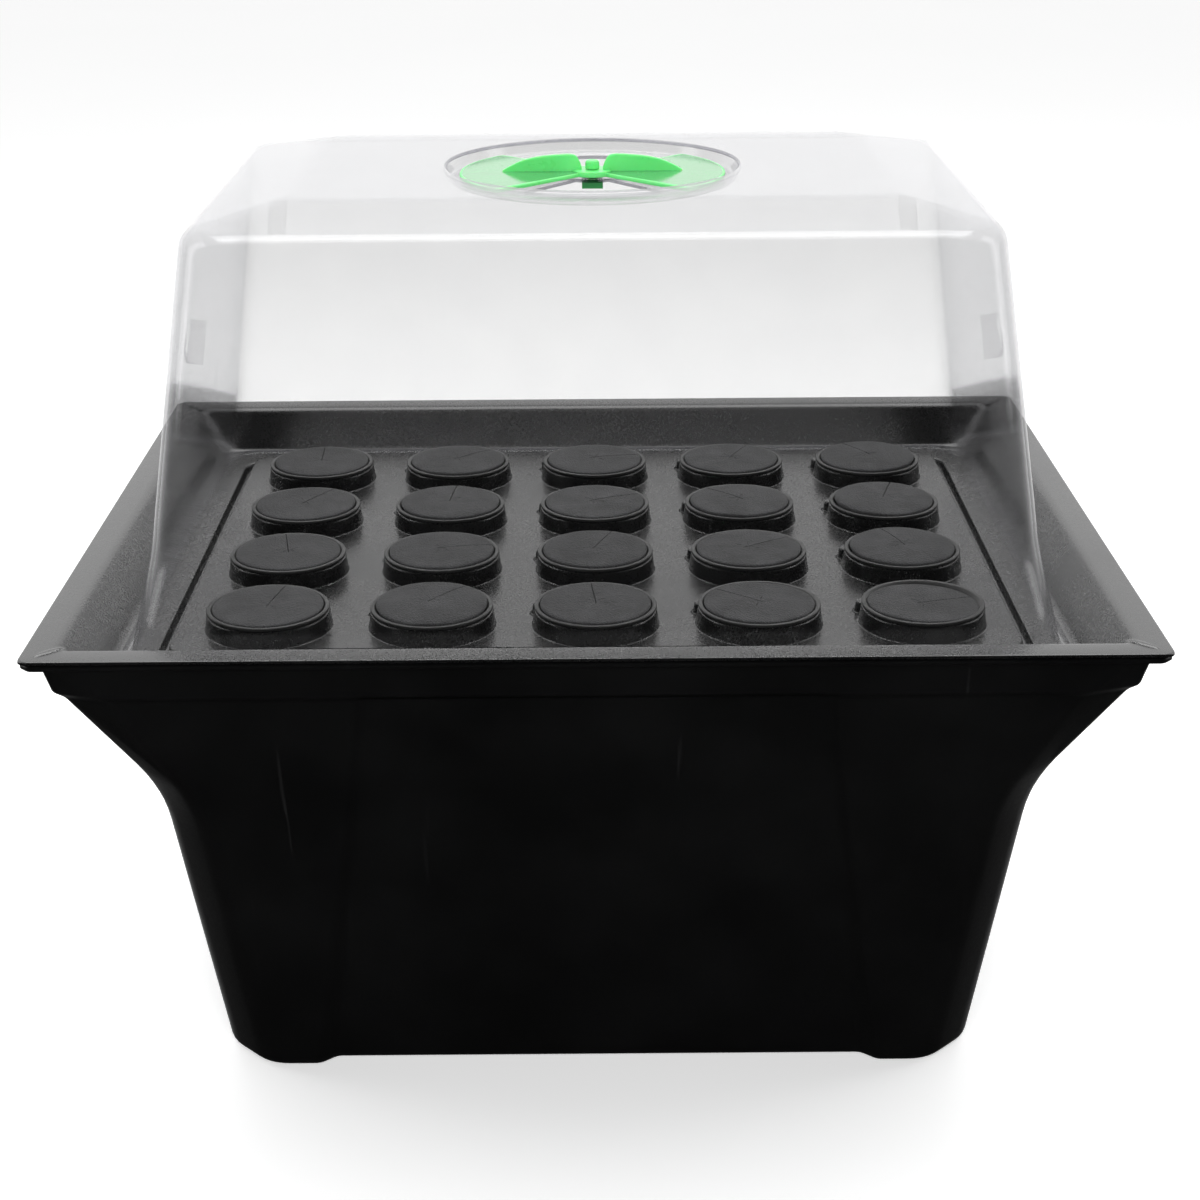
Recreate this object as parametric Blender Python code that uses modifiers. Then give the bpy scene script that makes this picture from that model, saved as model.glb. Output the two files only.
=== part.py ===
"""Aeroponic propagator: reservoir tank, planting tray of net pots, clear humidity dome.

Metres, +Z up. The origin is on the floor under the middle of the tank, +X runs along
the five columns of pots and the front of the object faces -Y.
"""
import math

import bmesh
import bpy
from mathutils import Vector

# ---- overall sizes
RIM_LENGTH = 0.492
RIM_WIDTH = 0.394
RIM_HEIGHT = 0.248
RIM_CORNER = 0.005

# ---- sheets and clearances
BLACK_SHEET = 0.0022
TRAY_SHEET = 0.0016
CLEAR_SHEET = 0.0015
GAP = 0.0003
NEST_GAP = 0.0006

# ---- reservoir tank: insets from the rim edge, heights below the rim
TANK_FLANGE = 0.006
FLANGE_ROUND = 0.0015
LEDGE_DROP = 0.021
LEDGE_RUN = 0.003
LEDGE_STEP = 0.004
LEDGE_INSET_X = 0.014
COLLAR_CHAMFER = (0.010, 0.006)
LEDGE_CHAMFER = (0.023, 0.0075)
KNEE_DROP = 0.085
KNEE_INSET_X = 0.045
LEG_INSET_X = 0.061
LEG_INSET_Y = 0.0710
KNEE_CHAMFER = (0.024, 0.024)
LEG_CHAMFER = (0.022, 0.022)
PANEL_TOP_X = 0.099
PANEL_FOOT_X = 0.130
PANEL_TOP_Y = 0.055
PANEL_FOOT_Y = 0.078
PANEL_DEPTH_TOP = 0.003
PANEL_DEPTH_FOOT = 0.0065
PANEL_RUN_TOP = 0.0045
PANEL_RUN_FOOT = 0.0080
FOOT_ROUND = 0.005
FOOT_RING = 0.014
BASE_RAISE = 0.004

# ---- planting tray
BAND = 0.0125
WALL_FOOT = 0.0290
CHANNEL_DROP = 0.0220
CHANNEL_END = 0.0460
GROOVE_DEPTH = 0.0040
CHANNEL_CORNER = 0.013
DECK_CORNER = 0.009
DECK_INSET = 0.0535
DECK_DROP = 0.0180
COLUMNS = 5
ROWS = 4
SIDE_MARGIN = 0.0118
FRONT_MARGIN = 0.0006
BACK_MARGIN = 0.0095
COLLAR_HEIGHT = 0.0080
COLLAR_DRAFT = 0.0012

# ---- net pots and foam inserts
POT_LIP_RADIUS = 0.0282
POT_LIP_HEIGHT = 0.0016
POT_LIP_TOP = 0.0018
POT_LIP_WIDTH = 0.0025
POT_FOOT_RADIUS = 0.0175
POT_STRAIGHT = 0.018
POT_DEPTH = 0.050
POT_WALL = 0.0008
FUNNEL_DEPTH = 0.0014
INSERT_THICKNESS = 0.018
INSERT_PROUD = 0.0010
INSERT_GAP = 0.0003

# ---- humidity dome
SKIRT_INSET = 0.0355
KINK_INSET = 0.0460
KINK_RISE = 0.024
SHOULDER_INSET = 0.0660
SHOULDER_RISE = 0.164
PLATEAU_INSET = 0.1105
PLATEAU_RISE = 0.174
DOME_CORNER = 0.032
SHOULDER_CORNER = 0.028

# ---- rotary vent
VENT_RADIUS = 0.070
VENT_DEPTH = 0.0060
VENT_DRAFT = 0.0025
VENT_MOUTH_ROUND = 0.0010
VENT_HOLE_INNER = 0.0125
VENT_HOLE_MARGIN = 0.018
VENT_HOLE_HALF_ANGLE = math.radians(38)
LEAF_MARGIN = 0.0065
LEAF_HALF_ANGLE = math.radians(46)
LEAF_THICKNESS = 0.0018
HUB_RADIUS = 0.0095
HUB_RISE = 0.0008
GRIP_MARGIN = 0.027
GRIP_HEIGHT = 0.0082
GRIP_THICKNESS = 0.0022
GRIP_START = 0.0050
PIN_RADIUS = 0.0024
PIN_HEAD_RADIUS = 0.0034
PIN_HEAD_RISE = 0.0042
CLIP_SIDE = 0.0100
CLIP_THICKNESS = 0.0038

# ---- pump and spray bar inside the tank
PUMP_LENGTH = 0.062
PUMP_WIDTH = 0.050
PUMP_HEIGHT = 0.046
PUMP_ROUND = 0.003
CHAMBER_RADIUS = 0.0165
CHAMBER_DEPTH = 0.013
IMPELLER_RADIUS = 0.0145
IMPELLER_HUB_RADIUS = 0.0045
IMPELLER_SETBACK = 0.002
IMPELLER_GAP = 0.001
VANE_THICKNESS = 0.0018
IMPELLER_VANES = 6
COVER_THICKNESS = 0.003
COVER_MARGIN = 0.002
INTAKE_SLOTS = 5
INTAKE_PITCH = 0.0085
INTAKE_WIDTH = 0.0036
INTAKE_HEIGHT = 0.024
SPIGOT_SETBACK = 0.0015
SPIGOT_ROOT = 0.004
SPIGOT_RADIUS = 0.0080
SPIGOT_BORE = 0.0055
SPIGOT_HEIGHT = 0.012
SUCTION_FOOT_RADIUS = 0.009
SUCTION_FOOT_HEIGHT = 0.007
SUCTION_CUP_HEIGHT = 0.0035
SUCTION_STEM_RADIUS = 0.0045
SUCTION_FOOT_MARGIN = 0.010
GLAND_SOCKET = 0.004
GLAND_RADIUS = 0.0045
GLAND_LENGTH = 0.010
PIPE_WALL = 0.0020
PIPE_CAP = 0.003
SPRAY_BAR_SHARE = 135 / 248
SPRAY_BAR_MARGIN = 0.116
SPRAY_BAR_RADIUS = 0.010
NOZZLES = 4
NOZZLE_PITCH = 0.074
NOZZLE_RADIUS = 0.0050
NOZZLE_RISE = 0.012
NOZZLE_STEM = 0.0030
NOZZLE_ENTRY = 0.001

# ---- how far a cutter runs past the face that it opens
CUT_PAST = 0.010

COLLECTION_NAME = "aeroponic_propagator"
HALF_X = RIM_LENGTH / 2
HALF_Y = RIM_WIDTH / 2
POT_RADIUS = POT_LIP_RADIUS - POT_LIP_WIDTH
VENT_HOLE_OUTER = VENT_RADIUS - VENT_HOLE_MARGIN
LEAF_RADIUS = VENT_RADIUS - LEAF_MARGIN
GRIP_LENGTH = VENT_RADIUS - GRIP_MARGIN
DECK_Z = RIM_HEIGHT - DECK_DROP
COLLAR_TOP = DECK_Z + COLLAR_HEIGHT
POT_SEAT = COLLAR_TOP + GAP
POT_TOP = POT_SEAT + POT_LIP_HEIGHT
HOLE_RADIUS = POT_RADIUS + NEST_GAP
COLLAR_BASE = POT_LIP_RADIUS + COLLAR_DRAFT
COLLAR_SEGMENTS = 16
COLLAR_CORNERS = 1 / math.cos(math.pi / COLLAR_SEGMENTS)
DECK_HALF_X = HALF_X - DECK_INSET
DECK_HALF_Y = HALF_Y - DECK_INSET
FIRST_COLUMN = SIDE_MARGIN + COLLAR_BASE * COLLAR_CORNERS - DECK_HALF_X
FIRST_ROW = FRONT_MARGIN + COLLAR_BASE * COLLAR_CORNERS - DECK_HALF_Y
LAST_ROW = DECK_HALF_Y - BACK_MARGIN - COLLAR_BASE * COLLAR_CORNERS
DOME_SEAT = RIM_HEIGHT - CHANNEL_DROP + GAP
VENT_FLOOR = RIM_HEIGHT + PLATEAU_RISE - VENT_DEPTH
TANK_FLOOR = BASE_RAISE + BLACK_SHEET
SPRAY_BAR_HEIGHT = RIM_HEIGHT * SPRAY_BAR_SHARE
SPRAY_BAR_LENGTH = RIM_LENGTH - 2 * SPRAY_BAR_MARGIN


def clear_scene():
    for item in list(bpy.data.objects):
        bpy.data.objects.remove(item, do_unlink=True)
    for mesh in list(bpy.data.meshes):
        bpy.data.meshes.remove(mesh)


def new_collection(name):
    collection = bpy.data.collections.new(name)
    bpy.context.scene.collection.children.link(collection)
    return collection


def material(name, colour, roughness, metallic=0.0, alpha=1.0):
    made = bpy.data.materials.new(name)
    made.use_nodes = True
    shader = made.node_tree.nodes["Principled BSDF"]
    shader.inputs["Base Color"].default_value = (*colour, 1.0)
    shader.inputs["Roughness"].default_value = roughness
    shader.inputs["Metallic"].default_value = metallic
    shader.inputs["Alpha"].default_value = alpha
    return made


def add_object(name, mesh, collection, look):
    made = bpy.data.objects.new(name, mesh)
    collection.objects.link(made)
    if look is not None and not mesh.materials:
        mesh.materials.append(look)
    return made


def mesh_from(name, bm):
    mesh = bpy.data.meshes.new(name)
    bm.to_mesh(mesh)
    bm.free()
    mesh.shade_smooth()
    mesh.set_sharp_from_angle(angle=math.radians(32))
    return mesh


def solidify(item, thickness, even=True):
    shell = item.modifiers.new("sheet", "SOLIDIFY")
    shell.thickness = thickness
    shell.offset = -1.0
    shell.use_even_offset = even
    shell.use_rim = True


def boolean(item, cutter, operation):
    step = item.modifiers.new(f"{operation.lower()} {cutter.name}", "BOOLEAN")
    step.operation = operation
    step.solver = "EXACT"
    step.object = cutter
    cutter.hide_render = True
    cutter.display_type = "WIRE"


# ---------------------------------------------------------------- outlines

def on_circle(centre_x, centre_y, radius, angle, z):
    return Vector((centre_x + radius * math.cos(angle), centre_y + radius * math.sin(angle), z))


def rounded_ring(half_x, half_y, radius, z, segments):
    """Points of a rectangle with round corners, anticlockwise seen from above."""
    ring = []
    for quarter, (side_x, side_y) in enumerate(((1, 1), (-1, 1), (-1, -1), (1, -1))):
        centre_x = side_x * (half_x - radius)
        centre_y = side_y * (half_y - radius)
        for step in range(segments + 1):
            angle = math.pi / 2 * (quarter + step / segments)
            ring.append(on_circle(centre_x, centre_y, radius, angle, z))
    return ring


def circle_ring(centre_x, centre_y, radius, z, segments):
    ring = []
    for step in range(segments):
        angle = 2 * math.pi * step / segments
        ring.append(on_circle(centre_x, centre_y, radius, angle, z))
    return ring


CHAMFER_PROFILE = ((1.3, 0.0), (1.025, 0.05), (0.8, 0.2), (0.2, 0.8), (0.05, 1.025), (0.0, 1.3))


def panelled_ring(half_x, half_y, chamfer, panel, z):
    """A rectangle with soft chamfered corners and a recessed panel in each side."""
    chamfer_x, chamfer_y = chamfer
    panel_x, panel_y, depth, run = panel
    ring = []
    for side_x, side_y in ((1, 1), (-1, 1), (-1, -1), (1, -1)):
        turn_first = side_x * side_y < 0
        corner = []
        for along, across in CHAMFER_PROFILE:
            x = half_x - along * chamfer_x
            y = half_y - across * chamfer_y
            corner.append(Vector((side_x * x, side_y * y, z)))
        if not turn_first:
            corner.reverse()
        ring.extend(corner)
        if side_x == side_y:
            ring.append(Vector((side_x * (panel_x + run), side_y * half_y, z)))
            ring.append(Vector((side_x * panel_x, side_y * (half_y - depth), z)))
            ring.append(Vector((-side_x * panel_x, side_y * (half_y - depth), z)))
            ring.append(Vector((-side_x * (panel_x + run), side_y * half_y, z)))
        else:
            ring.append(Vector((side_x * half_x, side_y * (panel_y + run), z)))
            ring.append(Vector((side_x * (half_x - depth), side_y * panel_y, z)))
            ring.append(Vector((side_x * (half_x - depth), -side_y * panel_y, z)))
            ring.append(Vector((side_x * half_x, -side_y * (panel_y + run), z)))
    return ring


# ---------------------------------------------------------------- surfaces

def add_ring(bm, points):
    return [bm.verts.new(point) for point in points]


def bridge(bm, upper, lower):
    """Quads between two closed rings with the same number of points."""
    count = len(upper)
    for index in range(count):
        after = (index + 1) % count
        bm.faces.new((upper[index], upper[after], lower[after], lower[index]))


def ring_edges(bm, ring):
    edges = []
    for index, vertex in enumerate(ring):
        other = ring[(index + 1) % len(ring)]
        edge = bm.edges.get((vertex, other))
        if edge is None:
            edge = bm.edges.new((vertex, other))
        edges.append(edge)
    return edges


def fill_between(bm, outer, holes):
    """Flat triangles between an outer ring and the rings of its holes."""
    edges = ring_edges(bm, outer)
    for hole in holes:
        edges.extend(ring_edges(bm, hole))
    bmesh.ops.triangle_fill(bm, edges=edges, use_beauty=True, normal=(0, 0, 1))


def face_out(bm, upward_at):
    """Consistent normals, with the face nearest to upward_at looking up."""
    bmesh.ops.recalc_face_normals(bm, faces=bm.faces)
    bm.normal_update()
    nearest = min(bm.faces, key=lambda face: (face.calc_center_median() - upward_at).length)
    if nearest.normal.z < 0:
        bmesh.ops.reverse_faces(bm, faces=bm.faces)


def turned(name, profile, steps, collection, look):
    """A solid of revolution about Z from a profile that runs down its outer side."""
    mesh = bpy.data.meshes.new(name)
    edges = [(index, index + 1) for index in range(len(profile) - 1)]
    mesh.from_pydata([(radius, 0, height) for radius, height in profile], edges, [])
    made = add_object(name, mesh, collection, look)
    add_screw(made, steps)
    return made


def add_screw(item, steps):
    screw = item.modifiers.new("turn", "SCREW")
    screw.axis = "Z"
    screw.steps = steps
    screw.render_steps = steps
    screw.use_merge_vertices = True
    screw.merge_threshold = 0.00001
    screw.use_smooth_shade = True


def box_object(name, low, high, collection, look, bevel=0.0):
    bm = bmesh.new()
    bmesh.ops.create_cube(bm, size=1.0)
    size = Vector(high) - Vector(low)
    centre = (Vector(high) + Vector(low)) / 2
    bmesh.ops.scale(bm, vec=size, verts=bm.verts)
    bmesh.ops.translate(bm, vec=centre, verts=bm.verts)
    if bevel > 0:
        bmesh.ops.bevel(bm, geom=bm.edges[:], offset=bevel, segments=2, profile=0.5, affect="EDGES")
    return add_object(name, mesh_from(name, bm), collection, look)


def cylinder_object(name, start, end, radius, steps, collection, look):
    """A closed cylinder between two points."""
    axis = Vector(end) - Vector(start)
    bm = bmesh.new()
    bmesh.ops.create_cone(bm, cap_ends=True, segments=steps, radius1=radius, radius2=radius, depth=axis.length)
    turn = Vector((0, 0, 1)).rotation_difference(axis.normalized())
    bmesh.ops.rotate(bm, cent=(0, 0, 0), matrix=turn.to_matrix(), verts=bm.verts)
    bmesh.ops.translate(bm, vec=(Vector(start) + Vector(end)) / 2, verts=bm.verts)
    return add_object(name, mesh_from(name, bm), collection, look)


# ---------------------------------------------------------------- pot positions

def pot_positions():
    """Row and column numbers with the centre of each pot, front row first."""
    places = []
    for row in range(ROWS):
        for column in range(COLUMNS):
            x = FIRST_COLUMN * (1 - 2 * column / (COLUMNS - 1))
            y = FIRST_ROW + (LAST_ROW - FIRST_ROW) * row / (ROWS - 1)
            places.append((row + 1, column + 1, x, y))
    return places


# ---------------------------------------------------------------- reservoir tank

def leg_half_y(drop):
    """Half width of the tank's front and back faces, a flat draft from ledge to foot."""
    top = HALF_Y - TANK_FLANGE - LEDGE_STEP
    foot = HALF_Y - LEG_INSET_Y
    share = (drop - LEDGE_DROP) / (RIM_HEIGHT - LEDGE_DROP)
    return top + (foot - top) * share


def tank_panels():
    """Half lengths, depth and edge run of the side panels at the collar, ledge, knee and foot."""
    top = (PANEL_TOP_X, PANEL_TOP_Y, PANEL_DEPTH_TOP, PANEL_RUN_TOP)
    foot = (PANEL_FOOT_X, PANEL_FOOT_Y, PANEL_DEPTH_FOOT, PANEL_RUN_FOOT)
    share = (KNEE_DROP - LEDGE_DROP) / (RIM_HEIGHT - LEDGE_DROP)
    knee = [high + (low - high) * share for high, low in zip(top, foot)]
    flat = (PANEL_TOP_X, PANEL_TOP_Y, 0.0, PANEL_RUN_TOP)
    return flat, top, knee, foot


def tank_rings():
    """The tank's outline at each height, from the edge of the flange to the middle of the base."""
    flat, top, knee, foot = tank_panels()
    collar_x = HALF_X - TANK_FLANGE
    collar_y = HALF_Y - TANK_FLANGE
    ledge_x = HALF_X - LEDGE_INSET_X
    knee_x = HALF_X - KNEE_INSET_X
    foot_x = HALF_X - LEG_INSET_X
    foot_y = HALF_Y - LEG_INSET_Y
    flange_z = RIM_HEIGHT - TRAY_SHEET - NEST_GAP - BLACK_SHEET
    ledge_z = RIM_HEIGHT - LEDGE_DROP
    edge = (RIM_CORNER, RIM_CORNER)
    heel = FOOT_ROUND * 0.3
    pad = FOOT_RING + BASE_RAISE
    return [
        panelled_ring(HALF_X - GAP, HALF_Y - GAP, edge, flat, flange_z),
        panelled_ring(collar_x + FLANGE_ROUND, collar_y + FLANGE_ROUND, edge, flat, flange_z),
        panelled_ring(collar_x, collar_y, COLLAR_CHAMFER, flat, flange_z - FLANGE_ROUND),
        panelled_ring(ledge_x + LEDGE_STEP, collar_y - FLANGE_ROUND, LEDGE_CHAMFER, flat, ledge_z),
        panelled_ring(ledge_x, leg_half_y(LEDGE_DROP + LEDGE_RUN), LEDGE_CHAMFER, top, ledge_z - LEDGE_RUN),
        panelled_ring(knee_x, leg_half_y(KNEE_DROP), KNEE_CHAMFER, knee, RIM_HEIGHT - KNEE_DROP),
        panelled_ring(foot_x, foot_y, LEG_CHAMFER, foot, FOOT_ROUND),
        panelled_ring(foot_x - heel, foot_y - heel, LEG_CHAMFER, foot, heel),
        panelled_ring(foot_x - FOOT_ROUND, foot_y - FOOT_ROUND, LEG_CHAMFER, foot, 0.0),
        panelled_ring(foot_x - FOOT_RING, foot_y - FOOT_RING, LEG_CHAMFER, foot, 0.0),
        panelled_ring(foot_x - pad, foot_y - pad, LEG_CHAMFER, foot, BASE_RAISE),
    ]


def build_tank(collection, look):
    bm = bmesh.new()
    rings = [add_ring(bm, points) for points in tank_rings()]
    for upper, lower in zip(rings, rings[1:]):
        bridge(bm, upper, lower)
    fill_between(bm, rings[-1], [])
    face_out(bm, Vector((0, 0, BASE_RAISE)))
    bmesh.ops.reverse_faces(bm, faces=bm.faces)
    tank = add_object("reservoir_tank", mesh_from("reservoir_tank", bm), collection, look)
    solidify(tank, BLACK_SHEET, even=False)


# ---------------------------------------------------------------- planting tray

TRAY_CORNER_SEGMENTS = 4


def tray_profile():
    """Inset from the rim edge, height and corner radius of each ring of the tray."""
    rim = RIM_HEIGHT
    channel = rim - CHANNEL_DROP
    return [
        (0.0, rim - 0.0009, RIM_CORNER),
        (0.0010, rim, RIM_CORNER),
        (BAND, rim, RIM_CORNER),
        (BAND + 0.0040, rim - 0.0015, RIM_CORNER + 0.002),
        (BAND + 0.0065, rim - 0.0050, RIM_CORNER + 0.004),
        (WALL_FOOT, channel + 0.0015, CHANNEL_CORNER),
        (WALL_FOOT + 0.0020, channel, CHANNEL_CORNER + 0.002),
        (CHANNEL_END, channel, CHANNEL_CORNER),
        (CHANNEL_END + 0.0020, channel - GROOVE_DEPTH, CHANNEL_CORNER - 0.001),
        (DECK_INSET - 0.0025, channel - GROOVE_DEPTH, DECK_CORNER),
        (DECK_INSET, DECK_Z, DECK_CORNER),
    ]


def build_tray(collection, look):
    bm = bmesh.new()
    rings = []
    for inset, height, corner in tray_profile():
        points = rounded_ring(HALF_X - inset, HALF_Y - inset, corner, height, TRAY_CORNER_SEGMENTS)
        rings.append(add_ring(bm, points))
    for upper, lower in zip(rings, rings[1:]):
        bridge(bm, upper, lower)
    collars = []
    for _, _, x, y in pot_positions():
        base = add_ring(bm, circle_ring(x, y, COLLAR_BASE * COLLAR_CORNERS, DECK_Z, COLLAR_SEGMENTS))
        top = add_ring(bm, circle_ring(x, y, POT_LIP_RADIUS * COLLAR_CORNERS, COLLAR_TOP, COLLAR_SEGMENTS))
        hole = add_ring(bm, circle_ring(x, y, HOLE_RADIUS * COLLAR_CORNERS, COLLAR_TOP, COLLAR_SEGMENTS))
        bridge(bm, base, top)
        bridge(bm, top, hole)
        collars.append(base)
    fill_between(bm, rings[-1], collars)
    face_out(bm, Vector((HALF_X - BAND / 2, 0, RIM_HEIGHT)))
    tray = add_object("planting_tray", mesh_from("planting_tray", bm), collection, look)
    solidify(tray, TRAY_SHEET)


# ---------------------------------------------------------------- net pots and inserts

POT_STEPS = 12
INSERT_STEPS = 12


def pot_profile():
    """The cup's half section about its own axis, with height 0 at the top of its lip."""
    seat = -POT_LIP_HEIGHT
    straight = seat - POT_STRAIGHT
    foot = -POT_DEPTH
    return [
        (0.0, foot + POT_WALL),
        (POT_FOOT_RADIUS - POT_WALL, foot + POT_WALL),
        (POT_RADIUS - POT_WALL, straight),
        (POT_RADIUS - POT_WALL, -FUNNEL_DEPTH),
        (POT_LIP_RADIUS - POT_LIP_TOP, 0.0),
        (POT_LIP_RADIUS, 0.0),
        (POT_LIP_RADIUS, seat),
        (POT_RADIUS, seat),
        (POT_RADIUS, straight),
        (POT_FOOT_RADIUS, foot),
        (0.0, foot),
    ]


def insert_profile():
    radius = POT_RADIUS - POT_WALL - INSERT_GAP
    top_radius = POT_LIP_RADIUS - POT_LIP_TOP - 2 * INSERT_GAP
    foot = INSERT_PROUD - INSERT_THICKNESS
    return [
        (0.0, INSERT_PROUD),
        (top_radius, INSERT_PROUD),
        (top_radius, 0.0),
        (radius, -FUNNEL_DEPTH - INSERT_GAP),
        (radius, foot),
        (0.0, foot),
    ]


def build_pots(collection, pot_look, foam_look):
    for row, column, x, y in pot_positions():
        pot = turned(f"net_pot_r{row}_c{column}", pot_profile(), POT_STEPS, collection, pot_look)
        pot.location = (x, y, POT_TOP)
        name = f"neoprene_insert_r{row}_c{column}"
        foam = turned(name, insert_profile(), INSERT_STEPS, collection, foam_look)
        foam.location = (x, y, POT_TOP)


# ---------------------------------------------------------------- humidity dome

DOME_CORNER_SEGMENTS = 6
VENT_SEGMENTS = 32
SECTOR_STEPS = 8


def dome_profile():
    """Inset from the rim edge, height and corner radius of each ring of the dome."""
    flange = DOME_SEAT + CLEAR_SHEET
    shoulder = RIM_HEIGHT + SHOULDER_RISE
    return [
        (WALL_FOOT + 0.0026, flange, DOME_CORNER * 0.6),
        (SKIRT_INSET, flange, DOME_CORNER * 0.7),
        (SKIRT_INSET + 0.0009, flange + 0.0015, DOME_CORNER * 0.8),
        (KINK_INSET, RIM_HEIGHT + KINK_RISE, DOME_CORNER),
        (SHOULDER_INSET - 0.0008, shoulder - 0.006, SHOULDER_CORNER),
        (SHOULDER_INSET + 0.0012, shoulder - 0.0012, SHOULDER_CORNER),
        (SHOULDER_INSET + 0.0060, shoulder + 0.0010, SHOULDER_CORNER),
        (PLATEAU_INSET, RIM_HEIGHT + PLATEAU_RISE, 0.012),
    ]


def sector_ring(direction, inner, outer, half_angle, z):
    """The outline of a sector of a ring, centred on a direction."""
    ring = []
    for step in range(SECTOR_STEPS + 1):
        angle = direction + half_angle * (2 * step / SECTOR_STEPS - 1)
        ring.append(Vector((outer * math.cos(angle), outer * math.sin(angle), z)))
    for step in range(SECTOR_STEPS // 2 + 1):
        angle = direction + half_angle * (1 - 4 * step / SECTOR_STEPS)
        ring.append(Vector((inner * math.cos(angle), inner * math.sin(angle), z)))
    return ring


def build_dome(collection, look):
    bm = bmesh.new()
    rings = []
    for inset, height, corner in dome_profile():
        points = rounded_ring(HALF_X - inset, HALF_Y - inset, corner, height, DOME_CORNER_SEGMENTS)
        rings.append(add_ring(bm, points))
    for upper, lower in zip(rings, rings[1:]):
        bridge(bm, upper, lower)
    plateau = RIM_HEIGHT + PLATEAU_RISE
    mouth = add_ring(bm, circle_ring(0, 0, VENT_RADIUS, plateau, VENT_SEGMENTS))
    edge_radius = VENT_RADIUS - VENT_MOUTH_ROUND
    edge = add_ring(bm, circle_ring(0, 0, edge_radius, plateau - VENT_MOUTH_ROUND, VENT_SEGMENTS))
    floor = add_ring(bm, circle_ring(0, 0, VENT_RADIUS - VENT_DRAFT, VENT_FLOOR, VENT_SEGMENTS))
    bridge(bm, mouth, edge)
    bridge(bm, edge, floor)
    holes = []
    for direction in (math.pi / 2, -math.pi / 2):
        size = (VENT_HOLE_INNER, VENT_HOLE_OUTER, VENT_HOLE_HALF_ANGLE)
        holes.append(add_ring(bm, sector_ring(direction, *size, VENT_FLOOR)))
    holes.append(add_ring(bm, circle_ring(0, 0, PIN_RADIUS + GAP, VENT_FLOOR, 12)))
    fill_between(bm, rings[-1], [mouth])
    fill_between(bm, floor, holes)
    face_out(bm, Vector((0, VENT_HOLE_INNER / 2, VENT_FLOOR)))
    dome = add_object("humidity_dome", mesh_from("humidity_dome", bm), collection, look)
    solidify(dome, CLEAR_SHEET)


# ---------------------------------------------------------------- rotary vent

def leaf_solid(name, direction, collection):
    """A sector plate that becomes one leaf of the rotor."""
    low = VENT_FLOOR + GAP
    size = (HUB_RADIUS * 0.5, LEAF_RADIUS, LEAF_HALF_ANGLE)
    bm = bmesh.new()
    upper = add_ring(bm, sector_ring(direction, *size, low + LEAF_THICKNESS))
    lower = add_ring(bm, sector_ring(direction, *size, low))
    bridge(bm, upper, lower)
    bm.faces.new(upper)
    bm.faces.new(lower[::-1])
    bmesh.ops.recalc_face_normals(bm, faces=bm.faces)
    return add_object(name, mesh_from(name, bm), collection, None)


def grip_outline():
    """Distance from the pin's axis and height over the leaf along the back of a grip."""
    back = ((1.0, 0.12), (0.80, 0.61), (0.63, 0.85), (0.45, 0.94), (0.27, 1.0), (0.20, 0.94))
    outline = [(GRIP_START, -LEAF_THICKNESS / 2), (GRIP_LENGTH, -LEAF_THICKNESS / 2)]
    for along, rise in back:
        outline.append((GRIP_LENGTH * along, GRIP_HEIGHT * rise))
    outline.append((GRIP_START, GRIP_HEIGHT * 0.3))
    return outline


def grip_solid(name, side, collection):
    """An upright finger grip that runs out along the middle of a leaf."""
    leaf_top = VENT_FLOOR + GAP + LEAF_THICKNESS
    half = GRIP_THICKNESS / 2
    bm = bmesh.new()
    front = [bm.verts.new((side * x, -half, leaf_top + rise)) for x, rise in grip_outline()]
    back = [bm.verts.new((side * x, half, leaf_top + rise)) for x, rise in grip_outline()]
    bridge(bm, front, back)
    bm.faces.new(front)
    bm.faces.new(back[::-1])
    bmesh.ops.recalc_face_normals(bm, faces=bm.faces)
    return add_object(name, mesh_from(name, bm), collection, None)


def build_vent(collection, cutters, rotor_look, clip_look):
    low = VENT_FLOOR + GAP
    hub_top = low + LEAF_THICKNESS + HUB_RISE
    clear_radius = PIN_RADIUS + GAP
    hub_ends = ((0, 0, low), (0, 0, hub_top))
    rotor = cylinder_object("vent_rotor", *hub_ends, HUB_RADIUS, 24, collection, rotor_look)
    for name, direction in (("leaf right", 0.0), ("leaf left", math.pi)):
        boolean(rotor, leaf_solid(name, direction, cutters), "UNION")
    for name, side in (("grip right", 1), ("grip left", -1)):
        boolean(rotor, grip_solid(name, side, cutters), "UNION")
    bore_foot = (0, 0, low - CUT_PAST)
    bore_top = (0, 0, hub_top + CUT_PAST)
    bore = cylinder_object("pin bore", bore_foot, bore_top, clear_radius, 12, cutters, None)
    boolean(rotor, bore, "DIFFERENCE")
    clip_top = VENT_FLOOR - CLEAR_SHEET - GAP
    clip_foot = clip_top - CLIP_THICKNESS
    turned("vent_pin", pin_profile(hub_top + GAP, clip_foot), 12, collection, rotor_look)
    half = CLIP_SIDE / 2
    clip = box_object("vent_clip", (-half, -half, clip_foot), (half, half, clip_top), collection, clip_look)
    hole_foot = (0, 0, clip_foot - CUT_PAST)
    hole_top = (0, 0, clip_top + CUT_PAST)
    hole = cylinder_object("clip hole", hole_foot, hole_top, clear_radius, 12, cutters, None)
    boolean(clip, hole, "DIFFERENCE")


def pin_profile(seat, stem_foot):
    """The domed head that rests on the hub, and the stem down to the foot of the clip."""
    return [
        (0.0, seat + PIN_HEAD_RISE),
        (PIN_HEAD_RADIUS * 0.5, seat + PIN_HEAD_RISE * 0.92),
        (PIN_HEAD_RADIUS * 0.88, seat + PIN_HEAD_RISE * 0.65),
        (PIN_HEAD_RADIUS, seat + PIN_HEAD_RISE * 0.3),
        (PIN_HEAD_RADIUS, seat),
        (PIN_RADIUS, seat),
        (PIN_RADIUS, stem_foot),
        (0.0, stem_foot),
    ]


# ---------------------------------------------------------------- pump

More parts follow.
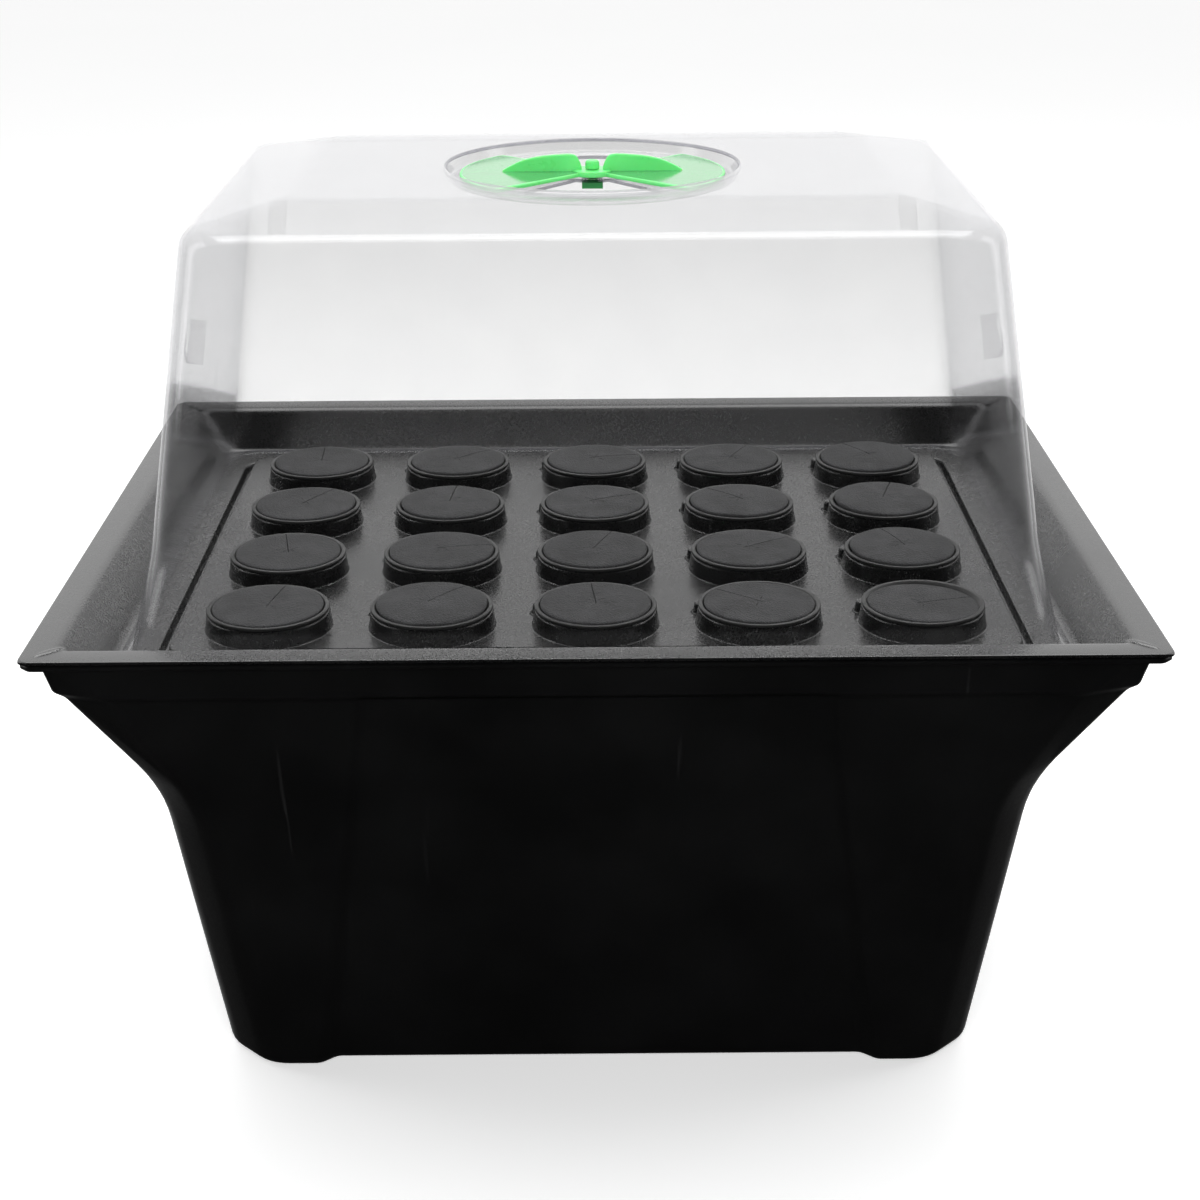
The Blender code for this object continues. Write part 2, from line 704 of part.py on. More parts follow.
def pump_low():
    return TANK_FLOOR + GAP + SUCTION_FOOT_HEIGHT + GAP


def build_pump(collection, cutters, looks):
    low = pump_low()
    high = low + PUMP_HEIGHT
    front = -PUMP_WIDTH / 2
    back = PUMP_WIDTH / 2
    half_x = PUMP_LENGTH / 2
    axis_z = low + PUMP_HEIGHT / 2
    spigot_top = high + SPIGOT_HEIGHT
    corners = ((-half_x, front, low), (half_x, back, high))
    body = box_object("pump_body", *corners, collection, looks["pump"], PUMP_ROUND)

    def tool(name, start, end, radius, steps, operation):
        boolean(body, cylinder_object(name, start, end, radius, steps, cutters, None), operation)

    spigot_y = front + SPIGOT_RADIUS + SPIGOT_SETBACK
    spigot_foot = (0, spigot_y, high - SPIGOT_ROOT)
    tool("outlet spigot", spigot_foot, (0, spigot_y, spigot_top), SPIGOT_RADIUS, 20, "UNION")
    chamber_mouth = (0, front - CUT_PAST, axis_z)
    chamber_end = (0, front + CHAMBER_DEPTH, axis_z)
    tool("impeller chamber", chamber_mouth, chamber_end, CHAMBER_RADIUS, 24, "DIFFERENCE")
    outlet_top = (0, spigot_y, spigot_top + CUT_PAST)
    tool("outlet bore", (0, spigot_y, axis_z), outlet_top, SPIGOT_BORE, 16, "DIFFERENCE")
    gland_foot = back - GLAND_SOCKET
    socket_mouth = (0, back + CUT_PAST, axis_z)
    tool("gland socket", (0, gland_foot, axis_z), socket_mouth, GLAND_RADIUS + GAP, 16, "DIFFERENCE")
    gland_start = (0, gland_foot + GAP, axis_z)
    gland_end = (0, back + GLAND_LENGTH, axis_z)
    cylinder_object("cable_gland", gland_start, gland_end, GLAND_RADIUS, 16, collection, looks["rubber"])
    build_impeller(collection, cutters, looks["impeller"], front, axis_z)
    build_cover(collection, cutters, looks["pump"], front, low)
    build_feet(collection, looks["rubber"])
    return spigot_y, high


def build_impeller(collection, cutters, look, front, axis_z):
    start = front + IMPELLER_SETBACK
    end = front + CHAMBER_DEPTH - IMPELLER_GAP
    half = VANE_THICKNESS / 2
    hub_ends = ((0, start, axis_z), (0, end, axis_z))
    impeller = cylinder_object("impeller", *hub_ends, IMPELLER_HUB_RADIUS, 16, collection, look)
    blades = IMPELLER_VANES // 2
    for number in range(blades):
        corner = Vector((IMPELLER_RADIUS, end - IMPELLER_GAP, half))
        opposite = Vector((-IMPELLER_RADIUS, start + IMPELLER_GAP, -half))
        blade = box_object(f"vane {number}", opposite, corner, cutters, None)
        blade.rotation_euler = (0, math.pi * number / blades, 0)
        blade.location = (0, 0, axis_z)
        boolean(impeller, blade, "UNION")


def build_cover(collection, cutters, look, front, low):
    """The slotted cover over the impeller chamber."""
    outer = front - GAP
    half_x = PUMP_LENGTH / 2 - COVER_MARGIN
    axis_z = low + PUMP_HEIGHT / 2
    near = (-half_x, outer - COVER_THICKNESS, low + COVER_MARGIN)
    far = (half_x, outer, low + PUMP_HEIGHT - COVER_MARGIN)
    cover = box_object("strainer_cover", near, far, collection, look)
    for number in range(INTAKE_SLOTS):
        x = (number - (INTAKE_SLOTS - 1) / 2) * INTAKE_PITCH
        near = (x - INTAKE_WIDTH / 2, outer - CUT_PAST, axis_z - INTAKE_HEIGHT / 2)
        far = (x + INTAKE_WIDTH / 2, outer + CUT_PAST, axis_z + INTAKE_HEIGHT / 2)
        boolean(cover, box_object(f"intake slot {number}", near, far, cutters, None), "DIFFERENCE")


def build_feet(collection, look):
    profile = [
        (0.0, SUCTION_FOOT_HEIGHT),
        (SUCTION_STEM_RADIUS, SUCTION_FOOT_HEIGHT),
        (SUCTION_STEM_RADIUS, SUCTION_CUP_HEIGHT),
        (SUCTION_FOOT_RADIUS, 0.0),
        (0.0, 0.0),
    ]
    x = PUMP_LENGTH / 2 - SUCTION_FOOT_MARGIN
    y = PUMP_WIDTH / 2 - SUCTION_FOOT_MARGIN
    for number, (side_x, side_y) in enumerate(((-1, -1), (-1, 1), (1, -1), (1, 1))):
        foot = turned(f"suction_foot_{number + 1}", profile, 12, collection, look)
        foot.location = (side_x * x, side_y * y, TANK_FLOOR + GAP)


# ---------------------------------------------------------------- spray bar

def nozzle_profile(seat):
    """A domed spray head on a stem that goes through the wall of the bar."""
    stem_foot = seat - GAP - PIPE_WALL - NOZZLE_ENTRY
    return [
        (0.0, seat + NOZZLE_RISE),
        (NOZZLE_RADIUS * 0.5, seat + NOZZLE_RISE),
        (NOZZLE_RADIUS, seat + NOZZLE_RISE * 0.5),
        (NOZZLE_RADIUS, seat),
        (NOZZLE_STEM, seat),
        (NOZZLE_STEM, stem_foot),
        (0.0, stem_foot),
    ]


def build_riser(collection, look, y, low, high):
    inner = SPIGOT_RADIUS + GAP
    outer = inner + PIPE_WALL
    profile = [(inner, low), (inner, high), (outer, high), (outer, low), (inner, low)]
    riser = turned("riser_pipe", profile, 20, collection, look)
    riser.location = (0, y, 0)


def build_spray(collection, cutters, looks, y, pump_high):
    z = SPRAY_BAR_HEIGHT
    under = z - SPRAY_BAR_RADIUS
    build_riser(collection, looks["pipe"], y, pump_high + GAP, under - GAP)
    half = SPRAY_BAR_LENGTH / 2
    ends = ((-half, y, z), (half, y, z))
    bar = cylinder_object("spray_bar", *ends, SPRAY_BAR_RADIUS, 20, collection, looks["pipe"])

    def tool(name, start, end, radius, steps, operation):
        boolean(bar, cylinder_object(name, start, end, radius, steps, cutters, None), operation)

    inside = half - PIPE_CAP
    inlet_foot = under - SPIGOT_HEIGHT
    tool("bar spigot", (0, y, inlet_foot), (0, y, z), SPIGOT_RADIUS, 20, "UNION")
    tool("bar bore", (-inside, y, z), (inside, y, z), SPRAY_BAR_RADIUS - PIPE_WALL, 16, "DIFFERENCE")
    tool("bar inlet bore", (0, y, inlet_foot - CUT_PAST), (0, y, z), SPIGOT_BORE, 16, "DIFFERENCE")
    for number in range(NOZZLES):
        x = (number - (NOZZLES - 1) / 2) * NOZZLE_PITCH
        socket_top = (x, y, z + SPRAY_BAR_RADIUS + CUT_PAST)
        tool(f"nozzle socket {number}", (x, y, z), socket_top, NOZZLE_STEM + GAP, 12, "DIFFERENCE")
        profile = nozzle_profile(z + SPRAY_BAR_RADIUS + GAP)
        nozzle = turned(f"spray_nozzle_{number + 1}", profile, 12, collection, looks["nozzle"])
        nozzle.location = (x, y, 0)


def main():
    clear_scene()
    collection = new_collection(COLLECTION_NAME)
    cutters = new_collection("cutters")
    cutters.hide_render = True
    black = material("black sheet", (0.012, 0.012, 0.013), 0.45)
    build_tank(collection, black)
    build_tray(collection, material("tray sheet", (0.018, 0.018, 0.019), 0.5))
    pot_look = material("pot plastic", (0.03, 0.03, 0.03), 0.55)
    foam_look = material("neoprene foam", (0.045, 0.045, 0.047), 0.95)
    build_pots(collection, pot_look, foam_look)
    build_dome(collection, material("clear sheet", (0.92, 0.93, 0.95), 0.05, 0.0, 0.25))
    rotor_look = material("green plastic", (0.06, 0.75, 0.13), 0.35)
    build_vent(collection, cutters, rotor_look, material("dark green plastic", (0.02, 0.30, 0.07), 0.4))
    looks = {
        "pump": material("pump plastic", (0.02, 0.02, 0.025), 0.4),
        "rubber": material("pump rubber", (0.015, 0.015, 0.015), 0.8),
        "impeller": material("impeller plastic", (0.75, 0.76, 0.78), 0.4),
        "pipe": material("pipe plastic", (0.03, 0.03, 0.03), 0.4),
        "nozzle": material("nozzle plastic", (0.55, 0.08, 0.05), 0.4),
    }
    riser_y, pump_high = build_pump(collection, cutters, looks)
    build_spray(collection, cutters, looks, riser_y, pump_high)


main()
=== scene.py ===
"""Looks of the aeroponic propagator: black tank and tray, foam collars in net pots, clear dome."""

import math
import random

import bmesh
import bpy
import numpy as np
from mathutils import Matrix, Vector, noise


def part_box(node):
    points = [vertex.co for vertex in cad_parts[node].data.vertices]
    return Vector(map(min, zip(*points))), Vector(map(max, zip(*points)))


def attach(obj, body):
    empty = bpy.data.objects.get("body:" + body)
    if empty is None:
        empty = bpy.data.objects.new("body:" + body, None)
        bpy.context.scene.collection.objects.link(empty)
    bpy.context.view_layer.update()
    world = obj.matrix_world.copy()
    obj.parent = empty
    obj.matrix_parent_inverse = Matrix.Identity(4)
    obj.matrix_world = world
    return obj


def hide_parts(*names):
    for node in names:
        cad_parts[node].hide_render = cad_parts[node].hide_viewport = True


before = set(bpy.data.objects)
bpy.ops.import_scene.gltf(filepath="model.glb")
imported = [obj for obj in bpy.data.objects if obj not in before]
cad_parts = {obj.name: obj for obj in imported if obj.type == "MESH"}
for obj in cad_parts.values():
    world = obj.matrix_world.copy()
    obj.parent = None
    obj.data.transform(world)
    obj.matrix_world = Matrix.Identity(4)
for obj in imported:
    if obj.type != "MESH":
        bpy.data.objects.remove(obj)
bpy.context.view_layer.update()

TRAY_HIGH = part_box("planting_tray")[1]
DOME_LOW, DOME_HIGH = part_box("humidity_dome")
TANK_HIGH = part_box("reservoir_tank")[1]
ROTOR_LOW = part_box("vent_rotor")[0]
PIN_LOW, PIN_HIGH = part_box("vent_pin")
HALF_X = TRAY_HIGH.x
HALF_Y = TRAY_HIGH.y
RIM_Z = TRAY_HIGH.z
CHANNEL_Z = RIM_Z - 0.022
DECK_Z = RIM_Z - 0.018
COLLAR_Z = DECK_Z + 0.008
PLATEAU_Z = DOME_HIGH.z
VENT_FLOOR_Z = ROTOR_LOW.z - 0.0003
DOME_WALL = 0.0015
TRAY_WALL = 0.0016
TANK_WALL = 0.0022


# ---------------------------------------------------------------- meshes

def smooth_by_angle(mesh, degrees):
    mesh.shade_smooth()
    mesh.set_sharp_from_angle(angle=math.radians(degrees))


def piece(name, bm, body, materials, stands_for=(), angle=35):
    """A finished mesh as a piece that rides on a body."""
    mesh = bpy.data.meshes.new(name)
    bm.to_mesh(mesh)
    bm.free()
    smooth_by_angle(mesh, angle)
    for look in materials:
        mesh.materials.append(look)
    made = bpy.data.objects.new(name, mesh)
    bpy.context.scene.collection.objects.link(made)
    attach(made, body)
    if stands_for:
        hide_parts(*stands_for)
    return made


def toward(start, end, distance):
    length = float(np.linalg.norm((end - start)[:3]))
    share = 0.0 if length < 1e-9 else min(distance / length, 0.48)
    return start + (end - start) * share


def rounded_rows(keys, cuts, steps=5):
    """Rows from a list of keys, with each inner key rounded off over its own cut."""
    keys = [np.array(key, float) for key in keys]
    rows = [keys[0]]
    for index in range(1, len(keys) - 1):
        here = keys[index]
        if cuts[index] <= 0:
            rows.append(here)
            continue
        first = toward(here, keys[index - 1], cuts[index])
        last = toward(here, keys[index + 1], cuts[index])
        for step in range(steps + 1):
            t = step / steps
            rows.append((1 - t) ** 2 * first + 2 * t * (1 - t) * here + t * t * last)
    rows.append(keys[-1])
    return rows


def rounded_polygon(corners, cuts, steps):
    """A closed outline with each corner rounded off."""
    points = []
    count = len(corners)
    for index, here in enumerate(corners):
        here = np.array(here, float)
        if cuts[index] <= 0:
            points.append(here)
            continue
        before = np.array(corners[index - 1], float)
        after = np.array(corners[(index + 1) % count], float)
        first = toward(here, before, cuts[index])
        last = toward(here, after, cuts[index])
        for step in range(steps + 1):
            t = step / steps
            points.append((1 - t) ** 2 * first + 2 * t * (1 - t) * here + t * t * last)
    return points


def round_rectangle(half_x, half_y, radius, z, segments):
    ring = []
    radius = max(radius, 0.0005)
    for quarter, (side_x, side_y) in enumerate(((1, 1), (-1, 1), (-1, -1), (1, -1))):
        for step in range(segments + 1):
            angle = math.pi / 2 * (quarter + step / segments)
            x = side_x * (half_x - radius) + radius * math.cos(angle)
            y = side_y * (half_y - radius) + radius * math.sin(angle)
            ring.append((x, y, z))
    return ring


def circle(x, y, radius, z, segments):
    turn = 2 * math.pi / segments
    return [(x + radius * math.cos(turn * i), y + radius * math.sin(turn * i), z) for i in range(segments)]


def add_loop(bm, points):
    return [bm.verts.new(point) for point in points]


def skin(bm, upper, lower, material_index=0):
    made = []
    count = len(upper)
    for index in range(count):
        after = (index + 1) % count
        face = bm.faces.new((upper[index], upper[after], lower[after], lower[index]))
        face.material_index = material_index
        made.append(face)
    return made


def loft(bm, loops):
    made = [add_loop(bm, loop) for loop in loops]
    for upper, lower in zip(made, made[1:]):
        skin(bm, upper, lower)
    return made


def loop_edges(bm, loop):
    edges = []
    for index, vertex in enumerate(loop):
        other = loop[(index + 1) % len(loop)]
        edges.append(bm.edges.get((vertex, other)) or bm.edges.new((vertex, other)))
    return edges


def fill_flat(bm, loops):
    edges = []
    for loop in loops:
        edges.extend(loop_edges(bm, loop))
    bmesh.ops.triangle_fill(bm, edges=edges, use_beauty=True, normal=(0, 0, 1))


def outward(bm, upward_at):
    bmesh.ops.recalc_face_normals(bm, faces=bm.faces)
    bm.normal_update()
    target = Vector(upward_at)
    nearest = min(bm.faces, key=lambda face: (face.calc_center_median() - target).length)
    if nearest.normal.z < 0:
        bmesh.ops.reverse_faces(bm, faces=bm.faces)


def thicken(item, wall, even=True):
    shell = item.modifiers.new("sheet", "SOLIDIFY")
    shell.thickness = wall
    shell.offset = -1.0
    shell.use_even_offset = even
    shell.use_rim = True
    shell.use_quality_normals = True


def lathe(bm, profile, steps, centre=(0, 0, 0), material_index=0):
    """A turned surface about Z from a profile of radius and height."""
    x, y, z = centre
    previous = None
    for radius, height in profile:
        if radius < 1e-6:
            current = [bm.verts.new((x, y, z + height))]
        else:
            current = add_loop(bm, circle(x, y, radius, z + height, steps))
        if previous is not None:
            if len(previous) == 1 and len(current) > 1:
                for i in range(steps):
                    face = bm.faces.new((previous[0], current[i], current[(i + 1) % steps]))
                    face.material_index = material_index
            elif len(current) == 1 and len(previous) > 1:
                for i in range(steps):
                    face = bm.faces.new((previous[i], current[0], previous[(i + 1) % steps]))
                    face.material_index = material_index
            else:
                skin(bm, previous, current, material_index)
        previous = current


def soft_profile(keys, cuts, steps=4):
    rows = rounded_rows([(radius, height, 0.0) for radius, height in keys], cuts, steps)
    return [(float(row[0]), float(row[1])) for row in rows]


# ---------------------------------------------------------------- materials

class Look:
    """A procedural material around one Principled shader."""

    def __init__(self, name):
        self.material = bpy.data.materials.new(name)
        self.material.use_nodes = True
        self.tree = self.material.node_tree
        self.shader = self.tree.nodes["Principled BSDF"]
        self.output = self.tree.nodes["Material Output"]
        self.place = self.node("ShaderNodeTexCoord").outputs["Object"]

    def node(self, kind, **values):
        made = self.tree.nodes.new(kind)
        for key, value in values.items():
            setattr(made, key, value)
        return made

    def link(self, start, end):
        self.tree.links.new(start, end)

    def set(self, **values):
        for key, value in values.items():
            self.shader.inputs[key.replace("_", " ")].default_value = value
        return self

    def stretched(self, scale):
        mapping = self.node("ShaderNodeMapping")
        mapping.inputs["Scale"].default_value = scale
        self.link(self.place, mapping.inputs["Vector"])
        return mapping.outputs["Vector"]

    def noise(self, scale, detail=4.0, roughness=0.55, vector=None, distortion=0.0):
        made = self.node("ShaderNodeTexNoise")
        made.inputs["Scale"].default_value = scale
        made.inputs["Detail"].default_value = detail
        made.inputs["Roughness"].default_value = roughness
        made.inputs["Distortion"].default_value = distortion
        self.link(vector or self.place, made.inputs["Vector"])
        return made.outputs["Fac"]

    def cells(self, scale, feature="F1", vector=None):
        made = self.node("ShaderNodeTexVoronoi", feature=feature)
        made.inputs["Scale"].default_value = scale
        self.link(vector or self.place, made.inputs["Vector"])
        return made.outputs["Distance"]

    def spread(self, factor, low, high, start=0.0, end=1.0):
        made = self.node("ShaderNodeMapRange")
        made.inputs["From Min"].default_value = start
        made.inputs["From Max"].default_value = end
        made.inputs["To Min"].default_value = low
        made.inputs["To Max"].default_value = high
        self.link(factor, made.inputs["Value"])
        return made.outputs["Result"]

    def maths(self, operation, first, second):
        made = self.node("ShaderNodeMath", operation=operation)
        for socket, value in zip(made.inputs, (first, second)):
            if isinstance(value, (int, float)):
                socket.default_value = value
            else:
                self.link(value, socket)
        return made.outputs[0]

    def mix(self, factor, first, second, blend="MIX"):
        made = self.node("ShaderNodeMix", data_type="RGBA", blend_type=blend)
        for socket, value in ((made.inputs[0], factor), (made.inputs[6], first), (made.inputs[7], second)):
            if isinstance(value, (int, float)):
                socket.default_value = value
            elif isinstance(value, tuple):
                socket.default_value = (*value, 1.0)
            else:
                self.link(value, socket)
        return made.outputs[2]

    def bump(self, height, strength, distance, under=None):
        made = self.node("ShaderNodeBump")
        made.inputs["Strength"].default_value = strength
        made.inputs["Distance"].default_value = distance
        self.link(height, made.inputs["Height"])
        if under is not None:
            self.link(under, made.inputs["Normal"])
        return made.outputs["Normal"]

    def finish(self, colour=None, roughness=None, normal=None):
        for value, name in ((colour, "Base Color"), (roughness, "Roughness"), (normal, "Normal")):
            if value is not None:
                self.link(value, self.shader.inputs[name])
        return self.material


def sheet_look(name, dark, light, gloss_low, gloss_high, grain, specular, speck=0.10):
    """Vacuum-formed black sheet: fine moulded grain, dust and faint rubbed marks."""
    look = Look(name).set(IOR=1.5, Specular_IOR_Level=specular)
    cloud = look.noise(14, 5, 0.6)
    fine = look.noise(grain, 3, 0.6)
    base = look.mix(look.spread(cloud, 0, 1, 0.35, 0.68), dark, light)
    dust_spots = look.cells(420)
    dust_field = look.noise(45, 3, 0.6)
    dust = look.maths(
        "MULTIPLY",
        look.spread(dust_spots, 1, 0, 0.06, 0.13),
        look.spread(dust_field, 0, 1, 0.60, 0.72))
    rub_direction = look.stretched((260, 22, 9))
    rub = look.spread(look.noise(1.0, 2, 0.5, rub_direction), 0, 1, 0.69, 0.76)
    marks = look.maths("MULTIPLY", rub, look.spread(look.noise(9, 2), 0, 0.5, 0.50, 0.66))
    coloured = look.mix(dust, base, (speck, speck, speck * 1.02))
    coloured = look.mix(marks, coloured, (speck * 0.45, speck * 0.45, speck * 0.47))
    gloss = look.maths(
        "ADD",
        look.spread(cloud, gloss_low, gloss_high, 0.3, 0.7),
        look.spread(fine, -0.04, 0.06, 0.3, 0.7))
    normal = look.bump(fine, 0.16, 0.00012)
    normal = look.bump(look.noise(grain * 0.22, 3), 0.10, 0.0004, normal)
    return look.finish(coloured, gloss, normal)


def foam_look(name, shift):
    """Closed-cell foam: matte charcoal with open pores, their pits darkened as painted shade, and pale flecks.
    """
    look = Look(name).set(IOR=1.4, Specular_IOR_Level=0.22, Sheen_Weight=0.12, Sheen_Roughness=0.6)
    moved = look.node("ShaderNodeMapping")
    moved.inputs["Location"].default_value = (shift, shift * 1.7, shift * 0.6)
    look.link(look.place, moved.inputs["Vector"])
    place = moved.outputs["Vector"]
    pores = look.cells(1150, vector=place)
    small = look.noise(1900, 3, 0.7, place)
    cloud = look.noise(70, 4, 0.6, place)
    base = look.mix(look.spread(cloud, 0, 1, 0.32, 0.7), (0.030, 0.030, 0.031), (0.058, 0.058, 0.060))
    # pore centres painted near black: painted shade in the pits
    base = look.mix(look.spread(pores, 1, 0, 0.08, 0.42), base, (0.010, 0.010, 0.011))
    flecks = look.spread(look.noise(1400, 2, 0.5, place), 0, 1, 0.66, 0.75)
    base = look.mix(flecks, base, (0.14, 0.14, 0.145))
    normal = look.bump(pores, 0.7, 0.0005)
    normal = look.bump(small, 0.5, 0.0003, normal)
    return look.finish(base, look.spread(small, 0.82, 1.0, 0.3, 0.7), normal)


def moulded_look(name, dark, light, gloss_low, gloss_high, specular=0.5, scatter=0.0):
    """Injection-moulded plastic with slight flow clouds and handling wear."""
    look = Look(name).set(IOR=1.5, Specular_IOR_Level=specular)
    if scatter > 0:
        look.set(Subsurface_Weight=scatter, Subsurface_Scale=0.004)
    cloud = look.noise(55, 4, 0.6, distortion=0.4)
    fine = look.noise(1300, 2, 0.6)
    wear = look.spread(look.noise(1.0, 2, 0.5, look.stretched((700, 60, 120))), 0, 1, 0.66, 0.74)
    base = look.mix(look.spread(cloud, 0, 1, 0.3, 0.7), dark, light)
    gloss = look.maths(
        "ADD",
        look.spread(cloud, gloss_low, gloss_high, 0.3, 0.7),
        look.maths("MULTIPLY", wear, 0.14))
    normal = look.bump(fine, 0.12, 0.00012)
    return look.finish(base, gloss, normal)


def clear_look(name, clear=(0.932, 0.932, 0.932), dull=(0.922, 0.922, 0.923), edge_on=(0.72, 0.72, 0.73)):
    """Clear thin sheet: see-through, mirror-like at glancing angles, darker where seen edge on."""
    look = Look(name)
    look.tree.nodes.remove(look.shader)
    facing = look.node("ShaderNodeLayerWeight")
    facing.inputs["Blend"].default_value = 0.5
    edge = look.maths("POWER", facing.outputs["Facing"], 3.2)
    haze = look.noise(38, 4, 0.6)
    grain = look.noise(520, 3, 0.7)
    tint = look.mix(look.spread(haze, 0, 1, 0.3, 0.7), clear, dull)
    tint = look.mix(edge, tint, edge_on)
    through = look.node("ShaderNodeBsdfTransparent")
    look.link(tint, through.inputs["Color"])
    mirror = look.node("ShaderNodeBsdfGlossy")
    mirror.inputs["Color"].default_value = (0.97, 0.97, 0.975, 1)
    gloss = look.maths(
        "ADD", look.spread(grain, 0.05, 0.16, 0.3, 0.7), look.spread(haze, 0.0, 0.05, 0.4, 0.7))
    look.link(gloss, mirror.inputs["Roughness"])
    ripple = look.bump(look.noise(26, 3, 0.5), 0.12, 0.0012)
    ripple = look.bump(grain, 0.10, 0.00010, ripple)
    look.link(ripple, mirror.inputs["Normal"])
    glancing = look.maths("POWER", facing.outputs["Facing"], 5.0)
    shine = look.maths("MULTIPLY_ADD", glancing, 0.80)
    shine.node.inputs[2].default_value = 0.035
    mixed = look.node("ShaderNodeMixShader")
    look.link(shine, mixed.inputs["Fac"])
    look.link(through.outputs["BSDF"], mixed.inputs[1])
    look.link(mirror.outputs["BSDF"], mixed.inputs[2])
    look.link(mixed.outputs["Shader"], look.output.inputs["Surface"])
    return look.material


def floor_look():
    look = Look("pale floor").set(Specular_IOR_Level=0.1, Emission_Color=(1, 1, 1, 1), Emission_Strength=0.32)
    cloud = look.noise(2.0, 4, 0.6)
    base = look.mix(look.spread(cloud, 0, 1, 0.3, 0.7), (0.96, 0.96, 0.96), (0.98, 0.98, 0.98))
    return look.finish(base, look.spread(cloud, 0.85, 0.95, 0.3, 0.7))


TANK_LOOK = sheet_look(
    "black_sheet", (0.0014, 0.0014, 0.0015), (0.0028, 0.0028, 0.0030), 0.34, 0.44, 760, 0.60, 0.022)
TRAY_LOOK = sheet_look(
    "tray_sheet", (0.0020, 0.0020, 0.0021), (0.0040, 0.0040, 0.0042), 0.24, 0.31, 900, 0.9, 0.06)
POT_LOOK = moulded_look("pot_plastic", (0.012, 0.012, 0.012), (0.020, 0.020, 0.020), 0.36, 0.48)
FOAM_LOOKS = [foam_look(f"neoprene_{index}", 0.37 * index) for index in range(3)]
CLEAR_LOOK = clear_look("clear_sheet")
# a darker clear sheet for the vent mouth's bend and the sheet's cut edges: painted shade for the dark
# refraction outline
BEND_SHADE_LOOK = clear_look("clear_sheet_bend_painted_shade", (0.55, 0.55, 0.58), (0.50, 0.50, 0.53), (0.38, 0.38, 0.41))
GREEN_LOOK = moulded_look("green_plastic", (0.130, 0.74, 0.190), (0.160, 0.80, 0.230), 0.26, 0.36, 0.5, 0.25)
# leaf tops: a darker copy of the rotor's green plastic, painted shade
LEAF_SHADE_LOOK = moulded_look("green_leaf_painted_shade", (0.080, 0.33, 0.110), (0.100, 0.38, 0.140), 0.10, 0.14, 0.5)
# vent clip under the dome floor: a darker copy of the vent's green, painted shade
SHADED_GREEN_LOOK = moulded_look("dark_green_plastic", (0.02, 0.20, 0.05), (0.035, 0.27, 0.07), 0.32, 0.42)
PUMP_LOOK = moulded_look("pump_plastic", (0.014, 0.014, 0.017), (0.026, 0.026, 0.030), 0.36, 0.50)
RUBBER_LOOK = moulded_look("pump_rubber", (0.012, 0.012, 0.012), (0.022, 0.022, 0.021), 0.72, 0.88, 0.3)
IMPELLER_LOOK = moulded_look("impeller_plastic", (0.66, 0.67, 0.69), (0.76, 0.77, 0.79), 0.32, 0.44)
PIPE_LOOK = moulded_look("pipe_plastic", (0.020, 0.020, 0.021), (0.034, 0.034, 0.035), 0.34, 0.48)
NOZZLE_LOOK = moulded_look("nozzle_plastic", (0.45, 0.045, 0.03), (0.56, 0.07, 0.045), 0.30, 0.42, 0.5, 0.1)


# ---------------------------------------------------------------- reservoir tank

def tank_outline(half_x, half_y, chamfer_x, chamfer_y, panel_x, panel_y, depth, run):
    """A soft-cornered rectangle with a recessed panel in each side, as a closed outline."""
    quarter = [
        (half_x - depth, panel_y * 0.5, 0),
        (half_x - depth, panel_y, 1),
        (half_x, panel_y + run, 1),
        (half_x, half_y - chamfer_y, 2),
        (half_x - chamfer_x, half_y, 2),
        (panel_x + run, half_y, 1),
        (panel_x, half_y - depth, 1),
        (panel_x * 0.5, half_y - depth, 0),
    ]
    corners = []
    for side_x, side_y in ((1, 1), (-1, 1), (-1, -1), (1, -1)):
        part = [(side_x * x, side_y * y, kind) for x, y, kind in quarter]
        if side_x * side_y < 0:
            part.reverse()
        corners.extend(part)
    cut_for = {0: 0.0, 1: 0.0026, 2: min(chamfer_x, chamfer_y) * 0.40}
    points = rounded_polygon([(x, y, 0.0) for x, y, _ in corners], [cut_for[kind] for _, _, kind in corners], 5)
    return [(float(x), float(y)) for x, y, _ in points]


